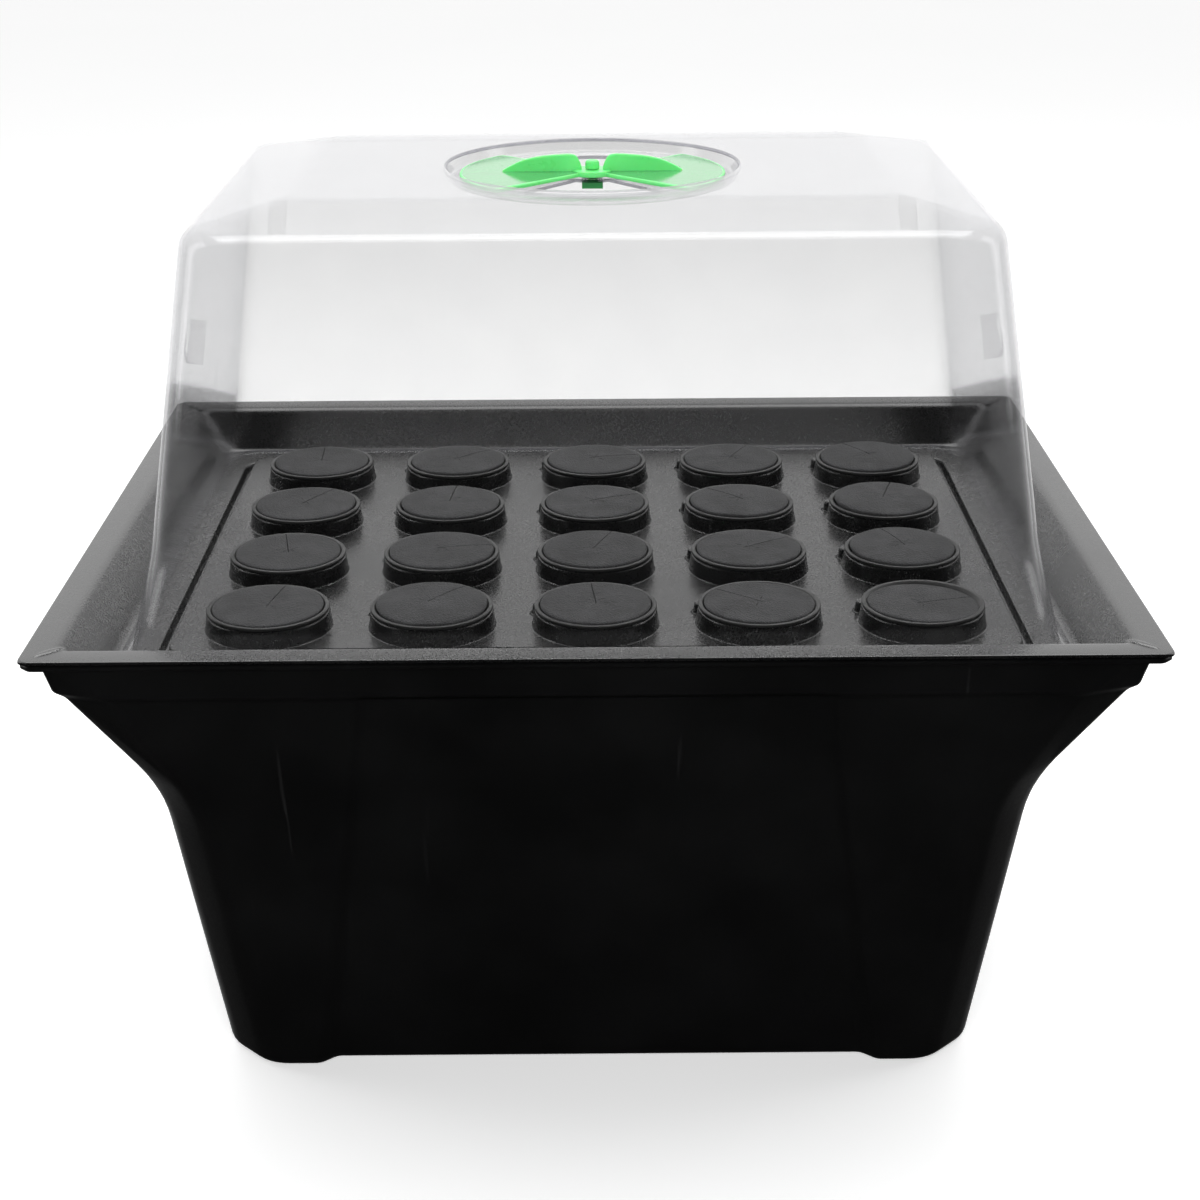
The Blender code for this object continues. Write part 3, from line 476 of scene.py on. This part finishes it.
def build_tank():
    flange_z = TANK_HIGH.z - TANK_WALL
    top = HALF_Y - 0.010
    foot = HALF_Y - 0.071

    def face_y(drop):
        return top + (foot - top) * (drop - 0.021) / (RIM_Z - 0.021)

    flat = (0.099, 0.055, 0.0, 0.0045)
    deep = (0.099, 0.055, 0.0030, 0.0045)
    low = (0.130, 0.078, 0.0065, 0.0080)
    share = (0.085 - 0.021) / (RIM_Z - 0.021)
    knee = tuple(a + (b - a) * share for a, b in zip(deep, low))
    foot_x = HALF_X - 0.061
    keys = [
        (HALF_X - 0.0003, HALF_Y - 0.0003, flange_z, 0.0050, 0.0050, *flat),
        (HALF_X - 0.0060, HALF_Y - 0.0060, flange_z, 0.0100, 0.0060, *flat),
        (HALF_X - 0.0100, HALF_Y - 0.0076, RIM_Z - 0.0205, 0.0230, 0.0075, *flat),
        (HALF_X - 0.0140, face_y(0.0240), RIM_Z - 0.0240, 0.0230, 0.0075, *deep),
        (HALF_X - 0.0450, face_y(0.085), RIM_Z - 0.085, 0.0240, 0.0240, *knee),
        (foot_x, foot, 0.0, 0.0220, 0.0220, *low),
        (foot_x - 0.014, foot - 0.014, 0.0, 0.0200, 0.0200, *low),
        (foot_x - 0.018, foot - 0.018, 0.004, 0.0190, 0.0190, *low),
        ((foot_x - 0.018) * 0.55, (foot - 0.018) * 0.55, 0.004, 0.0100, 0.0100, 0.06, 0.03, 0.003, 0.004),
    ]
    cuts = [0, 0.0018, 0.0014, 0.0018, 0.020, 0.0062, 0.0015, 0.0015, 0]
    bm = bmesh.new()
    loops = []
    for row in rounded_rows(keys, cuts, 6):
        half_x, half_y, z, *rest = (float(value) for value in row)
        outline = tank_outline(half_x, half_y, *rest)
        loops.append([(x, y, z) for x, y in outline])
    made = loft(bm, loops)
    middle = bm.verts.new((0, 0, 0.004))
    last = made[-1]
    for index, vertex in enumerate(last):
        bm.faces.new((vertex, last[(index + 1) % len(last)], middle))
    outward(bm, (0, 0, 0.004))
    bmesh.ops.reverse_faces(bm, faces=bm.faces)
    tank = piece("tank_shell", bm, "root", [TANK_LOOK], ("reservoir_tank",), 40)
    thicken(tank, TANK_WALL, False)
    return tank


# ---------------------------------------------------------------- planting tray

COLLAR_SEGMENTS = 56
LOBE_ANGLE = math.radians(152)


def pot_names():
    return [(row, column) for row in range(1, 5) for column in range(1, 6)]


def pot_centre(row, column):
    """Middle of a net pot and the height of its lip's top."""
    low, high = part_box(f"net_pot_r{row}_c{column}")
    return (low.x + high.x) / 2, (low.y + high.y) / 2, high.z


def collar_loops(x, y):
    """The raised collar round one pot, from the deck up and over its rounded lip."""
    height = COLLAR_Z - DECK_Z
    profile = soft_profile(
        [(0.0303, 0.0), (0.0293, 0.0), (0.0282, height), (0.0264, height), (0.0264, height - 0.003)],
        [0, 0.0009, 0.0010, 0.0006, 0], 4)
    return [circle(x, y, radius, DECK_Z + rise, COLLAR_SEGMENTS) for radius, rise in profile]


def add_lobe(bm, x, y):
    """The small half-round pip moulded on the side of a collar."""
    centre_x = x + 0.0292 * math.cos(LOBE_ANGLE)
    centre_y = y + 0.0292 * math.sin(LOBE_ANGLE)
    profile = soft_profile(
        [(0.0, 0.0052), (0.0034, 0.0052), (0.0041, 0.0), (0.0052, 0.0)], [0, 0.0013, 0.0008, 0], 4)
    lathe(bm, profile, 20, (centre_x, centre_y, DECK_Z))


def add_corner_pip(bm, side_x, side_y):
    """A low diagonal rib on the rim band at a corner of the tray."""
    centre = Vector((side_x * (HALF_X - 0.0115), side_y * (HALF_Y - 0.0115), RIM_Z))
    along = Vector((side_x, side_y, 0)).normalized()
    across = Vector((-along.y, along.x, 0))
    rows = []
    for ring in range(6):
        share = ring / 5
        level = 0.0008 * math.sqrt(max(0.0, 1 - share * share)) - 0.00005
        loop = []
        for step in range(20):
            angle = 2 * math.pi * step / 20
            reach = 0.0078 * share * math.cos(angle)
            side = 0.0022 * share * math.sin(angle)
            point = centre + along * reach + across * side
            loop.append((point.x, point.y, RIM_Z + level))
        rows.append(loop)
    loops = [add_loop(bm, loop) for loop in rows[1:]]
    peak = bm.verts.new((centre.x, centre.y, RIM_Z + 0.0008))
    for index in range(20):
        bm.faces.new((peak, loops[0][index], loops[0][(index + 1) % 20]))
    for upper, lower in zip(loops, loops[1:]):
        skin(bm, upper, lower)


def build_tray():
    keys = [
        (0.0000, RIM_Z - 0.0014, 0.0050),
        (0.0002, RIM_Z, 0.0050),
        (0.0150, RIM_Z, 0.0060),
        (0.0290, CHANNEL_Z, 0.0140),
        (0.0470, CHANNEL_Z, 0.0130),
        (0.0482, CHANNEL_Z - 0.0040, 0.0125),
        (0.0512, CHANNEL_Z - 0.0040, 0.0105),
        (0.0532, DECK_Z, 0.0095),
        (0.0545, DECK_Z, 0.0090),
    ]
    cuts = [0, 0.0008, 0.0038, 0.0028, 0.0012, 0.0010, 0.0010, 0.0010, 0]
    bm = bmesh.new()
    loops = []
    for inset, z, corner in rounded_rows(keys, cuts, 5):
        loops.append(round_rectangle(HALF_X - inset, HALF_Y - inset, corner, z, 10))
    made = loft(bm, loops)
    rims = []
    for row, column in pot_names():
        x, y, _ = pot_centre(row, column)
        rims.append(loft(bm, collar_loops(x, y))[0])
    fill_flat(bm, [made[-1], *rims])
    outward(bm, (HALF_X - 0.006, 0, RIM_Z))
    tray = piece("tray_shell", bm, "tray", [TRAY_LOOK], ("planting_tray",), 38)
    thicken(tray, TRAY_WALL, False)
    bm = bmesh.new()
    for row, column in pot_names():
        x, y, _ = pot_centre(row, column)
        add_lobe(bm, x, y)
    for side_x in (-1, 1):
        for side_y in (-1, 1):
            add_corner_pip(bm, side_x, side_y)
    bmesh.ops.recalc_face_normals(bm, faces=bm.faces)
    piece("tray_pips", bm, "tray", [TRAY_LOOK], (), 50)
    return tray


# ---------------------------------------------------------------- net pots

POT_SEGMENTS = 60
SLOT_PITCH = 5


def pot_basket():
    """One net pot about its own axis, height 0 at the top of its lip: open slots between ribs."""
    bm = bmesh.new()
    lip = soft_profile(
        [(0.0250, -0.0030), (0.0250, -0.0014), (0.0264, 0.0),
         (0.0282, 0.0), (0.0282, -0.0016), (0.0258, -0.0016)],
        [0, 0.0005, 0.0003, 0.0006, 0.0006, 0], 3)
    loops = [circle(0, 0, radius, height, POT_SEGMENTS) for radius, height in lip]
    heights = [
        -0.0016, -0.0100, -0.0196, -0.0220, -0.0285, -0.0305, -0.0370, -0.0390, -0.0455, -0.0480, -0.0498]
    for height in heights[1:]:
        if height >= -0.0196:
            radius = 0.0257
        else:
            radius = 0.0257 + (0.0175 - 0.0257) * (-height - 0.0196) / (0.050 - 0.0196)
        loops.append(circle(0, 0, radius, height, POT_SEGMENTS))
    made = loft(bm, loops)
    slots = []
    start = len(lip)
    for level, (upper, lower) in enumerate(zip(heights[1:], heights[2:])):
        if upper - lower > 0.0055 and upper <= -0.0196:
            top, bottom = made[start + level], made[start + level + 1]
            for index in range(POT_SEGMENTS):
                if index % SLOT_PITCH in (0, 1, 2):
                    after = (index + 1) % POT_SEGMENTS
                    wanted = {top[index], top[after], bottom[after], bottom[index]}
                    slots.extend(face for face in top[index].link_faces if set(face.verts) == wanted)
    bmesh.ops.delete(bm, geom=slots, context="FACES_ONLY")
    rings = [made[-1]]
    for radius in (0.0150, 0.0090, 0.0060):
        rings.append(add_loop(bm, circle(0, 0, radius, -0.0498, POT_SEGMENTS)))
        faces = skin(bm, rings[-2], rings[-1])
        if radius == 0.0090:
            gone = [face for index, face in enumerate(faces) if index % SLOT_PITCH in (0, 1, 2)]
            bmesh.ops.delete(bm, geom=gone, context="FACES_ONLY")
    middle = bm.verts.new((0, 0, -0.0498))
    for index in range(POT_SEGMENTS):
        bm.faces.new((rings[-1][index], rings[-1][(index + 1) % POT_SEGMENTS], middle))
    bmesh.ops.recalc_face_normals(bm, faces=bm.faces)
    mesh = bpy.data.meshes.new("net_pot_basket")
    bm.to_mesh(mesh)
    bm.free()
    smooth_by_angle(mesh, 45)
    mesh.materials.append(POT_LOOK)
    return mesh


def build_pots():
    mesh = pot_basket()
    for row, column in pot_names():
        x, y, z = pot_centre(row, column)
        pot = bpy.data.objects.new(f"pot_basket_r{row}_c{column}", mesh)
        bpy.context.scene.collection.objects.link(pot)
        pot.location = (x, y, z)
        pot.rotation_euler = (0, 0, math.radians(37 * row + 61 * column))
        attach(pot, f"pot_r{row}_c{column}")
        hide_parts(f"net_pot_r{row}_c{column}")
        wall = pot.modifiers.new("wall", "SOLIDIFY")
        wall.thickness = 0.0007
        wall.offset = -1.0


# ---------------------------------------------------------------- foam inserts

FOAM_RADIUS = 0.0255
FOAM_TOP = 0.0009
FOAM_DEPTH = 0.0170

# slit angle in degrees, crown in mm, tilt about X and about Y in degrees, sink in mm
FOAM_STATE = {
    (1, 1): (78, 0.3, 0.4, -0.5, 0.3), (1, 2): (52, 1.5, 1.4, 0.2, -0.4), (1, 3): (95, 0.6, 0.3, 0.3, 0.1),
    (1, 4): (140, 0.4, -0.4, 0.5, 0.4), (1, 5): (20, 0.1, -1.6, 1.6, 1.3),
    (2, 1): (100, 0.3, 0.2, 0.3, 0.4), (2, 2): (12, 0.9, 0.5, -0.4, 0.0), (2, 3): (70, 0.7, 0.6, 0.2, -0.1),
    (2, 4): (35, 0.5, -0.3, -0.4, 0.2), (2, 5): (110, 1.2, 1.0, 0.6, -0.4),
    (3, 1): (60, 0.6, 0.4, -0.6, 0.1), (3, 2): (85, 1.0, 0.5, 0.4, -0.2), (3, 3): (25, 0.5, 0.8, 0.2, 0.1),
    (3, 4): (130, 0.9, -0.5, 0.3, 0.0), (3, 5): (75, 1.2, 0.8, 0.9, -0.5),
    (4, 1): (92, 0.5, 0.3, 0.4, 0.1), (4, 2): (45, 0.8, -0.4, -0.3, 0.0), (4, 3): (15, 0.7, 0.4, 0.2, 0.1),
    (4, 4): (65, 0.6, 0.3, -0.4, 0.1), (4, 5): (118, 1.3, 0.9, -0.8, -0.5),
}


def cut_groove(bm, angle, start, end, width, depth):
    """A V-shaped slit in the top face along a direction, from start to end."""
    along = Vector((math.cos(angle), math.sin(angle), 0))
    across = Vector((-along.y, along.x, 0))
    for offset in (-width, 0.0, width):
        geometry = bm.verts[:] + bm.edges[:] + bm.faces[:]
        bmesh.ops.bisect_plane(bm, geom=geometry, dist=1e-6, plane_co=across * offset, plane_no=across)
    for vertex in bm.verts:
        if abs(vertex.co.dot(across)) < 2e-6 and vertex.co.z > -0.0012:
            reach = vertex.co.dot(along)
            if start <= reach <= end:
                fade = min(1.0, (reach - start) / 0.0015 + 0.15, (end - reach) / 0.0015 + 0.15)
                vertex.co.z -= depth * fade


def foam_disc(row, column, seed):
    slit, crown, tilt_x, tilt_y, sink = FOAM_STATE[(row, column)]
    rng = random.Random(seed)
    bm = bmesh.new()
    top = [(FOAM_RADIUS * share, 0.0) for share in (0.0, 0.12, 0.25, 0.38, 0.5, 0.6, 0.7, 0.8, 0.88, 0.94)]
    side = soft_profile(
        [(FOAM_RADIUS * 0.94, 0.0), (FOAM_RADIUS, -0.0002), (FOAM_RADIUS, -0.0012),
         (0.0244, -0.0022), (0.0244, -FOAM_DEPTH), (0.020, -FOAM_DEPTH - 0.0004)],
        [0, 0.0009, 0.0004, 0.0004, 0.0010, 0], 3)
    lathe(bm, top + side[1:] + [(0.0, -FOAM_DEPTH - 0.0004)], 72)
    angle = math.radians(slit)
    cut_groove(bm, angle, -0.0010, FOAM_RADIUS + 0.001, 0.00030, 0.0016)
    for extra in (60, 120):
        cut_groove(bm, angle + math.radians(extra + rng.uniform(-8, 8)), -0.0052, 0.0052, 0.00026, 0.0011)
    for vertex in bm.verts:
        radius = math.hypot(vertex.co.x, vertex.co.y) / FOAM_RADIUS
        if vertex.co.z > -0.004:
            lift = crown * 0.001 * max(0.0, 1 - radius ** 2.4)
            spot = Vector((vertex.co.x * 90 + seed, vertex.co.y * 90, seed * 0.7))
            wave = noise.noise(spot) * 0.00035 + noise.noise(spot * 5.0) * 0.00012
            vertex.co.z += lift + wave * (1 - 0.5 * radius)
    turn = Matrix.Rotation(math.radians(tilt_x), 4, "X") @ Matrix.Rotation(math.radians(tilt_y), 4, "Y")
    for vertex in bm.verts:
        if vertex.co.z > -0.008:
            share = min(1.0, (vertex.co.z + 0.008) / 0.008)
            moved = turn @ vertex.co
            vertex.co.z += (moved.z - vertex.co.z) * share - sink * 0.001 * share
    bmesh.ops.recalc_face_normals(bm, faces=bm.faces)
    return bm


def build_foam():
    for index, (row, column) in enumerate(pot_names()):
        x, y, z = pot_centre(row, column)
        bm = foam_disc(row, column, index + 1)
        bmesh.ops.translate(bm, vec=(x, y, z + FOAM_TOP), verts=bm.verts)
        name = f"foam_insert_r{row}_c{column}"
        node = f"neoprene_insert_r{row}_c{column}"
        foam = piece(name, bm, f"pot_r{row}_c{column}", [FOAM_LOOKS[index % 3]], (node,), 50)


# ---------------------------------------------------------------- humidity dome

DOME_CORNER_STEPS = 14
VENT_RADIUS = 0.070


def sector_outline(direction, inner, outer, half_angle, z, steps, cut):
    points = []
    for step in range(steps + 1):
        angle = direction + half_angle * (2 * step / steps - 1)
        points.append((outer * math.cos(angle), outer * math.sin(angle), z))
    for step in range(steps // 2 + 1):
        angle = direction + half_angle * (1 - 4 * step / steps)
        points.append((inner * math.cos(angle), inner * math.sin(angle), z))
    cuts = [0.0] * len(points)
    for index in (0, steps, steps + 1, len(points) - 1):
        cuts[index] = cut
    return [tuple(float(value) for value in point) for point in rounded_polygon(points, cuts, 4)]


def wall_inset(z):
    """How far the dome's wall stands in from the rim edge at a height."""
    share = (z - (RIM_Z + 0.024)) / (RIM_Z + 0.164 - RIM_Z - 0.024)
    return 0.0460 + (0.0664 - 0.0460) * share, 0.032 + (0.028 - 0.032) * share


def add_lug(bm, side_x, side_y):
    """A half-round stacking lug moulded on a vertical corner of the dome."""
    turn = math.radians(31)
    width = 0.0054
    bottom = RIM_Z + 0.1125
    length = 0.0190
    columns, rows = 13, 17
    grid = []
    for j in range(rows):
        z = bottom + length * j / (rows - 1)
        inset, corner = wall_inset(z)
        line = []
        for i in range(columns):
            across = 2 * i / (columns - 1) - 1
            angle = turn + across * width / corner
            normal = Vector((side_x * math.sin(angle), side_y * math.cos(angle), 0.12)).normalized()
            x = side_x * (HALF_X - inset - corner + corner * math.sin(angle))
            y = side_y * (HALF_Y - inset - corner + corner * math.cos(angle))
            below = max(0.0, (bottom + width - z) / width)
            above = max(0.0, (z - bottom - width) / (length - width))
            round_off = max(0.0, 1 - across ** 2 - below ** 2)
            height = 0.0024 * math.sqrt(round_off) * (1 - above ** 2) - 0.0001
            line.append(bm.verts.new(Vector((x, y, z)) + normal * height))
        grid.append(line)
    for j in range(rows - 1):
        for i in range(columns - 1):
            bm.faces.new((grid[j][i], grid[j][i + 1], grid[j + 1][i + 1], grid[j + 1][i]))


def build_dome():
    seat = DOME_LOW.z + DOME_WALL
    keys = [
        (0.0316, seat, 0.0192),
        (0.0362, seat, 0.0235),
        (0.0460, RIM_Z + 0.024, 0.0320),
        (0.0664, RIM_Z + 0.1650, 0.0280),
        (0.1105, PLATEAU_Z, 0.0120),
        (0.1180, PLATEAU_Z, 0.0080),
    ]
    cuts = [0, 0.0022, 0.0060, 0.0075, 0.0040, 0]
    bm = bmesh.new()
    loops = []
    for inset, z, corner in rounded_rows(keys, cuts, 7):
        loops.append(round_rectangle(HALF_X - inset, HALF_Y - inset, corner, z, DOME_CORNER_STEPS))
    made = loft(bm, loops)
    vent = soft_profile(
        [(VENT_RADIUS + 0.0030, PLATEAU_Z), (VENT_RADIUS, PLATEAU_Z),
         (VENT_RADIUS - 0.0025, VENT_FLOOR_Z), (VENT_RADIUS - 0.0055, VENT_FLOOR_Z)],
        [0, 0.0014, 0.0014, 0], 6)
    vent_loops = loft(bm, [circle(0, 0, radius, z, 96) for radius, z in vent])
    fill_flat(bm, [made[-1], vent_loops[0]])
    holes = [vent_loops[-1]]
    for direction in (math.pi / 2, -math.pi / 2):
        outline = sector_outline(direction, 0.0125, 0.052, math.radians(38), VENT_FLOOR_Z, 24, 0.0020)
        holes.append(add_loop(bm, outline))
    holes.append(add_loop(bm, circle(0, 0, 0.0027, VENT_FLOOR_Z, 20)))
    fill_flat(bm, holes)
    outward(bm, (0, 0.0068, VENT_FLOOR_Z))
    # faces on the vent mouth's bend take the darker sheet: painted shade
    for face in bm.faces:
        spot = face.calc_center_median()
        if abs(math.hypot(spot.x, spot.y) - VENT_RADIUS) < 0.0006 and spot.z > PLATEAU_Z - 0.0016:
            face.material_index = 1
    dome = piece("dome_shell", bm, "dome", [CLEAR_LOOK, BEND_SHADE_LOOK], ("humidity_dome",), 35)
    thicken(dome, DOME_WALL)
    # the sheet's cut edges take the darker sheet too: painted shade
    dome.modifiers[-1].material_offset_rim = 1
    bm = bmesh.new()
    for side_x in (-1, 1):
        for side_y in (-1, 1):
            add_lug(bm, side_x, side_y)
    bmesh.ops.recalc_face_normals(bm, faces=bm.faces)
    piece("dome_lugs", bm, "dome", [CLEAR_LOOK], (), 60)
    return dome


# ---------------------------------------------------------------- rotary vent

LEAF_TOP = ROTOR_LOW.z + 0.0018
HUB_TOP = LEAF_TOP + 0.0008
GRIP_KNOTS = (
    (0.0050, 0.0016), (0.0058, 0.0042), (0.0072, 0.0068), (0.0086, 0.0078), (0.0114, 0.0082), (0.0155, 0.0080),
    (0.0194, 0.0077), (0.0240, 0.0073), (0.0273, 0.0068), (0.0310, 0.0060), (0.0345, 0.0049), (0.0390, 0.0028),
    (0.0418, 0.0013), (0.0430, 0.0005))


def add_leaf(bm, direction):
    """One leaf of the rotor: a bright green rolled edge around a glossy top in a darker copy of the green,
    painted shade.
    """
    low = ROTOR_LOW.z
    half_angle = math.radians(46)
    loops = []
    for inset, height in ((0.0, 0.0003), (0.0, 0.0013), (0.0002, 0.0016), (0.0006, 0.0018), (0.0012, 0.0018)):
        size = (0.006 + inset, 0.0635 - inset, half_angle - inset / 0.035)
        loops.append(add_loop(bm, sector_outline(direction, *size, low + height, 28, 0.003)))
    base = add_loop(bm, sector_outline(direction, 0.0062, 0.0633, half_angle, low, 28, 0.003))
    for upper, lower in zip(loops, loops[1:]):
        skin(bm, upper, lower, 0)
    skin(bm, base, loops[0], 0)
    top = bm.faces.new(loops[-1])
    # top and bottom faces take the darker green: painted shade
    top.material_index = 1
    bottom = bm.faces.new(base[::-1])
    bottom.material_index = 1


def add_grip(bm, side):
    """An upright finger grip with a rounded back that runs out along the middle of a leaf."""
    low = LEAF_TOP - 0.0006
    half = 0.0011
    start = GRIP_KNOTS[0][0]
    tip = GRIP_KNOTS[-1][0]
    steps = 44
    sections = []
    for step in range(steps + 1):
        x = start + (tip - start) * (step / steps) ** 1.25
        rise = float(np.interp(x, [knot[0] for knot in GRIP_KNOTS], [knot[1] for knot in GRIP_KNOTS]))
        crown = LEAF_TOP + rise
        shoulder = crown - min(half, rise * 0.8)
        line = [(half + 0.0005, low), (half + 0.0002, LEAF_TOP + 0.0003), (half, max(shoulder - 0.0002, low))]
        for turn in range(1, 8):
            angle = math.pi * turn / 8
            line.append((half * math.cos(angle), shoulder + (crown - shoulder) * math.sin(angle)))
        line.extend([(-half, line[2][1]), (-half - 0.0002, line[1][1]), (-half - 0.0005, low)])
        sections.append([bm.verts.new((side * x, y, z)) for y, z in line])
    for first, second in zip(sections, sections[1:]):
        skin(bm, first, second, 0)
    bm.faces.new(sections[0])
    bm.faces.new(sections[-1][::-1])


def build_vent():
    bm = bmesh.new()
    for direction in (0.0, math.pi):
        add_leaf(bm, direction)
    for side in (1, -1):
        add_grip(bm, side)
    low = ROTOR_LOW.z
    profile = soft_profile(
        [(0.0027, low), (0.0095, low), (0.0095, HUB_TOP), (0.0027, HUB_TOP)], [0, 0.0004, 0.0007, 0], 4)
    lathe(bm, profile, 48)
    bmesh.ops.recalc_face_normals(bm, faces=bm.faces)
    piece("vent_rotor_moulding", bm, "vent", [GREEN_LOOK, LEAF_SHADE_LOOK], ("vent_rotor",), 40)
    bm = bmesh.new()
    seat = HUB_TOP + 0.0003
    head = soft_profile(
        [(0.0, PIN_HIGH.z), (0.0034, PIN_HIGH.z - 0.0001), (0.0034, seat), (0.0024, seat),
         (0.0024, PIN_LOW.z), (0.0, PIN_LOW.z)],
        [0, 0.0026, 0.0003, 0.0002, 0.0005, 0], 6)
    lathe(bm, head, 36)
    bmesh.ops.recalc_face_normals(bm, faces=bm.faces)
    piece("vent_pin_moulding", bm, "vent", [GREEN_LOOK], ("vent_pin",), 40)


# ---------------------------------------------------------------- carried-over parts

def dress(node, look, bevel=0.0):
    """A CAD node keeps its shape and gets its material and softened edges."""
    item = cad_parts[node]
    item.data.materials.clear()
    item.data.materials.append(look)
    if bevel > 0:
        soft = item.modifiers.new("edges", "BEVEL")
        soft.width = bevel
        soft.segments = 2
        soft.limit_method = "ANGLE"
        soft.angle_limit = math.radians(40)


def build_small_parts():
    # the clip takes the darker green: painted shade under the dome floor
    dress("vent_clip", SHADED_GREEN_LOOK, 0.0006)
    dress("pump_body", PUMP_LOOK)
    dress("strainer_cover", PUMP_LOOK)
    dress("impeller", IMPELLER_LOOK)
    dress("cable_gland", RUBBER_LOOK, 0.0006)
    dress("riser_pipe", PIPE_LOOK)
    dress("spray_bar", PIPE_LOOK)
    for number in range(1, 5):
        dress(f"suction_foot_{number}", RUBBER_LOOK)
        dress(f"spray_nozzle_{number}", NOZZLE_LOOK)


# ---------------------------------------------------------------- stage

def area_light(name, place, target, width, height, power, colour=(1, 1, 1)):
    data = bpy.data.lights.new(name, "AREA")
    data.shape = "RECTANGLE"
    data.size = width
    data.size_y = height
    data.energy = power
    data.color = colour
    lamp = bpy.data.objects.new(name, data)
    bpy.context.scene.collection.objects.link(lamp)
    lamp.location = place
    lamp.rotation_euler = (Vector(target) - Vector(place)).to_track_quat("-Z", "Y").to_euler()
    return lamp


def build_world():
    world = bpy.data.worlds.new("studio")
    bpy.context.scene.world = world
    world.use_nodes = True
    tree = world.node_tree
    back = tree.nodes["Background"]
    place = tree.nodes.new("ShaderNodeTexCoord")
    split = tree.nodes.new("ShaderNodeSeparateXYZ")
    tree.links.new(place.outputs["Generated"], split.inputs["Vector"])
    lean = tree.nodes.new("ShaderNodeMath")
    lean.operation = "MULTIPLY_ADD"
    lean.inputs[1].default_value = 1.8
    tree.links.new(split.outputs["Y"], lean.inputs[0])
    tree.links.new(split.outputs["Z"], lean.inputs[2])
    ramp = tree.nodes.new("ShaderNodeMapRange")
    ramp.interpolation_type = "SMOOTHSTEP"
    ramp.inputs["From Min"].default_value = 0.1
    ramp.inputs["From Max"].default_value = 1.7
    ramp.inputs["To Min"].default_value = 0.015
    ramp.inputs["To Max"].default_value = 1.35
    tree.links.new(lean.outputs[0], ramp.inputs["Value"])
    tree.links.new(ramp.outputs["Result"], back.inputs["Strength"])
    back.inputs["Color"].default_value = (1, 1, 1, 1)


def build_stage():
    mesh = bpy.data.meshes.new("floor")
    reach = 14.0
    corners = [(-reach, -reach, 0), (reach, -reach, 0), (reach, reach, 0), (-reach, reach, 0)]
    mesh.from_pydata(corners, [], [(0, 1, 2, 3)])
    mesh.materials.append(floor_look())
    floor = bpy.data.objects.new("floor", mesh)
    bpy.context.scene.collection.objects.link(floor)
    floor.location = (0, 0, -0.0004)
    floor.visible_glossy = False
    build_world()
    area_light("top soft box", (0.0, 0.55, 1.75), (0, 0, 0.3), 1.6, 1.0, 18)
    fill = area_light("front fill", (0.0, -1.60, 0.95), (0, 0, 0.35), 1.2, 0.8, 24)
    fill.visible_glossy = False
    area_light("left strip", (-1.25, 0.10, 0.80), (0, 0, 0.3), 0.35, 1.1, 2.5)
    area_light("right strip", (1.25, 0.10, 0.80), (0, 0, 0.3), 0.35, 1.1, 2.5)


def build_camera():
    data = bpy.data.cameras.new("camera")
    data.sensor_width = 36.0
    data.lens = 65.13
    data.shift_x = 0.0037
    data.clip_start = 0.05
    data.clip_end = 60.0
    camera = bpy.data.objects.new("camera", data)
    bpy.context.scene.collection.objects.link(camera)
    tilt = Matrix.Rotation(math.radians(90 - 21.44), 4, "X")
    roll = Matrix.Rotation(math.radians(-0.43), 4, "Z")
    camera.matrix_world = Matrix.Translation((0.0, -1.0422, RIM_Z + 0.3586)) @ tilt @ roll
    bpy.context.scene.camera = camera


build_camera()
build_stage()
build_tank()
build_tray()
build_pots()
build_foam()
build_dome()
build_vent()
build_small_parts()
bpy.context.scene.view_settings.view_transform = "Standard"
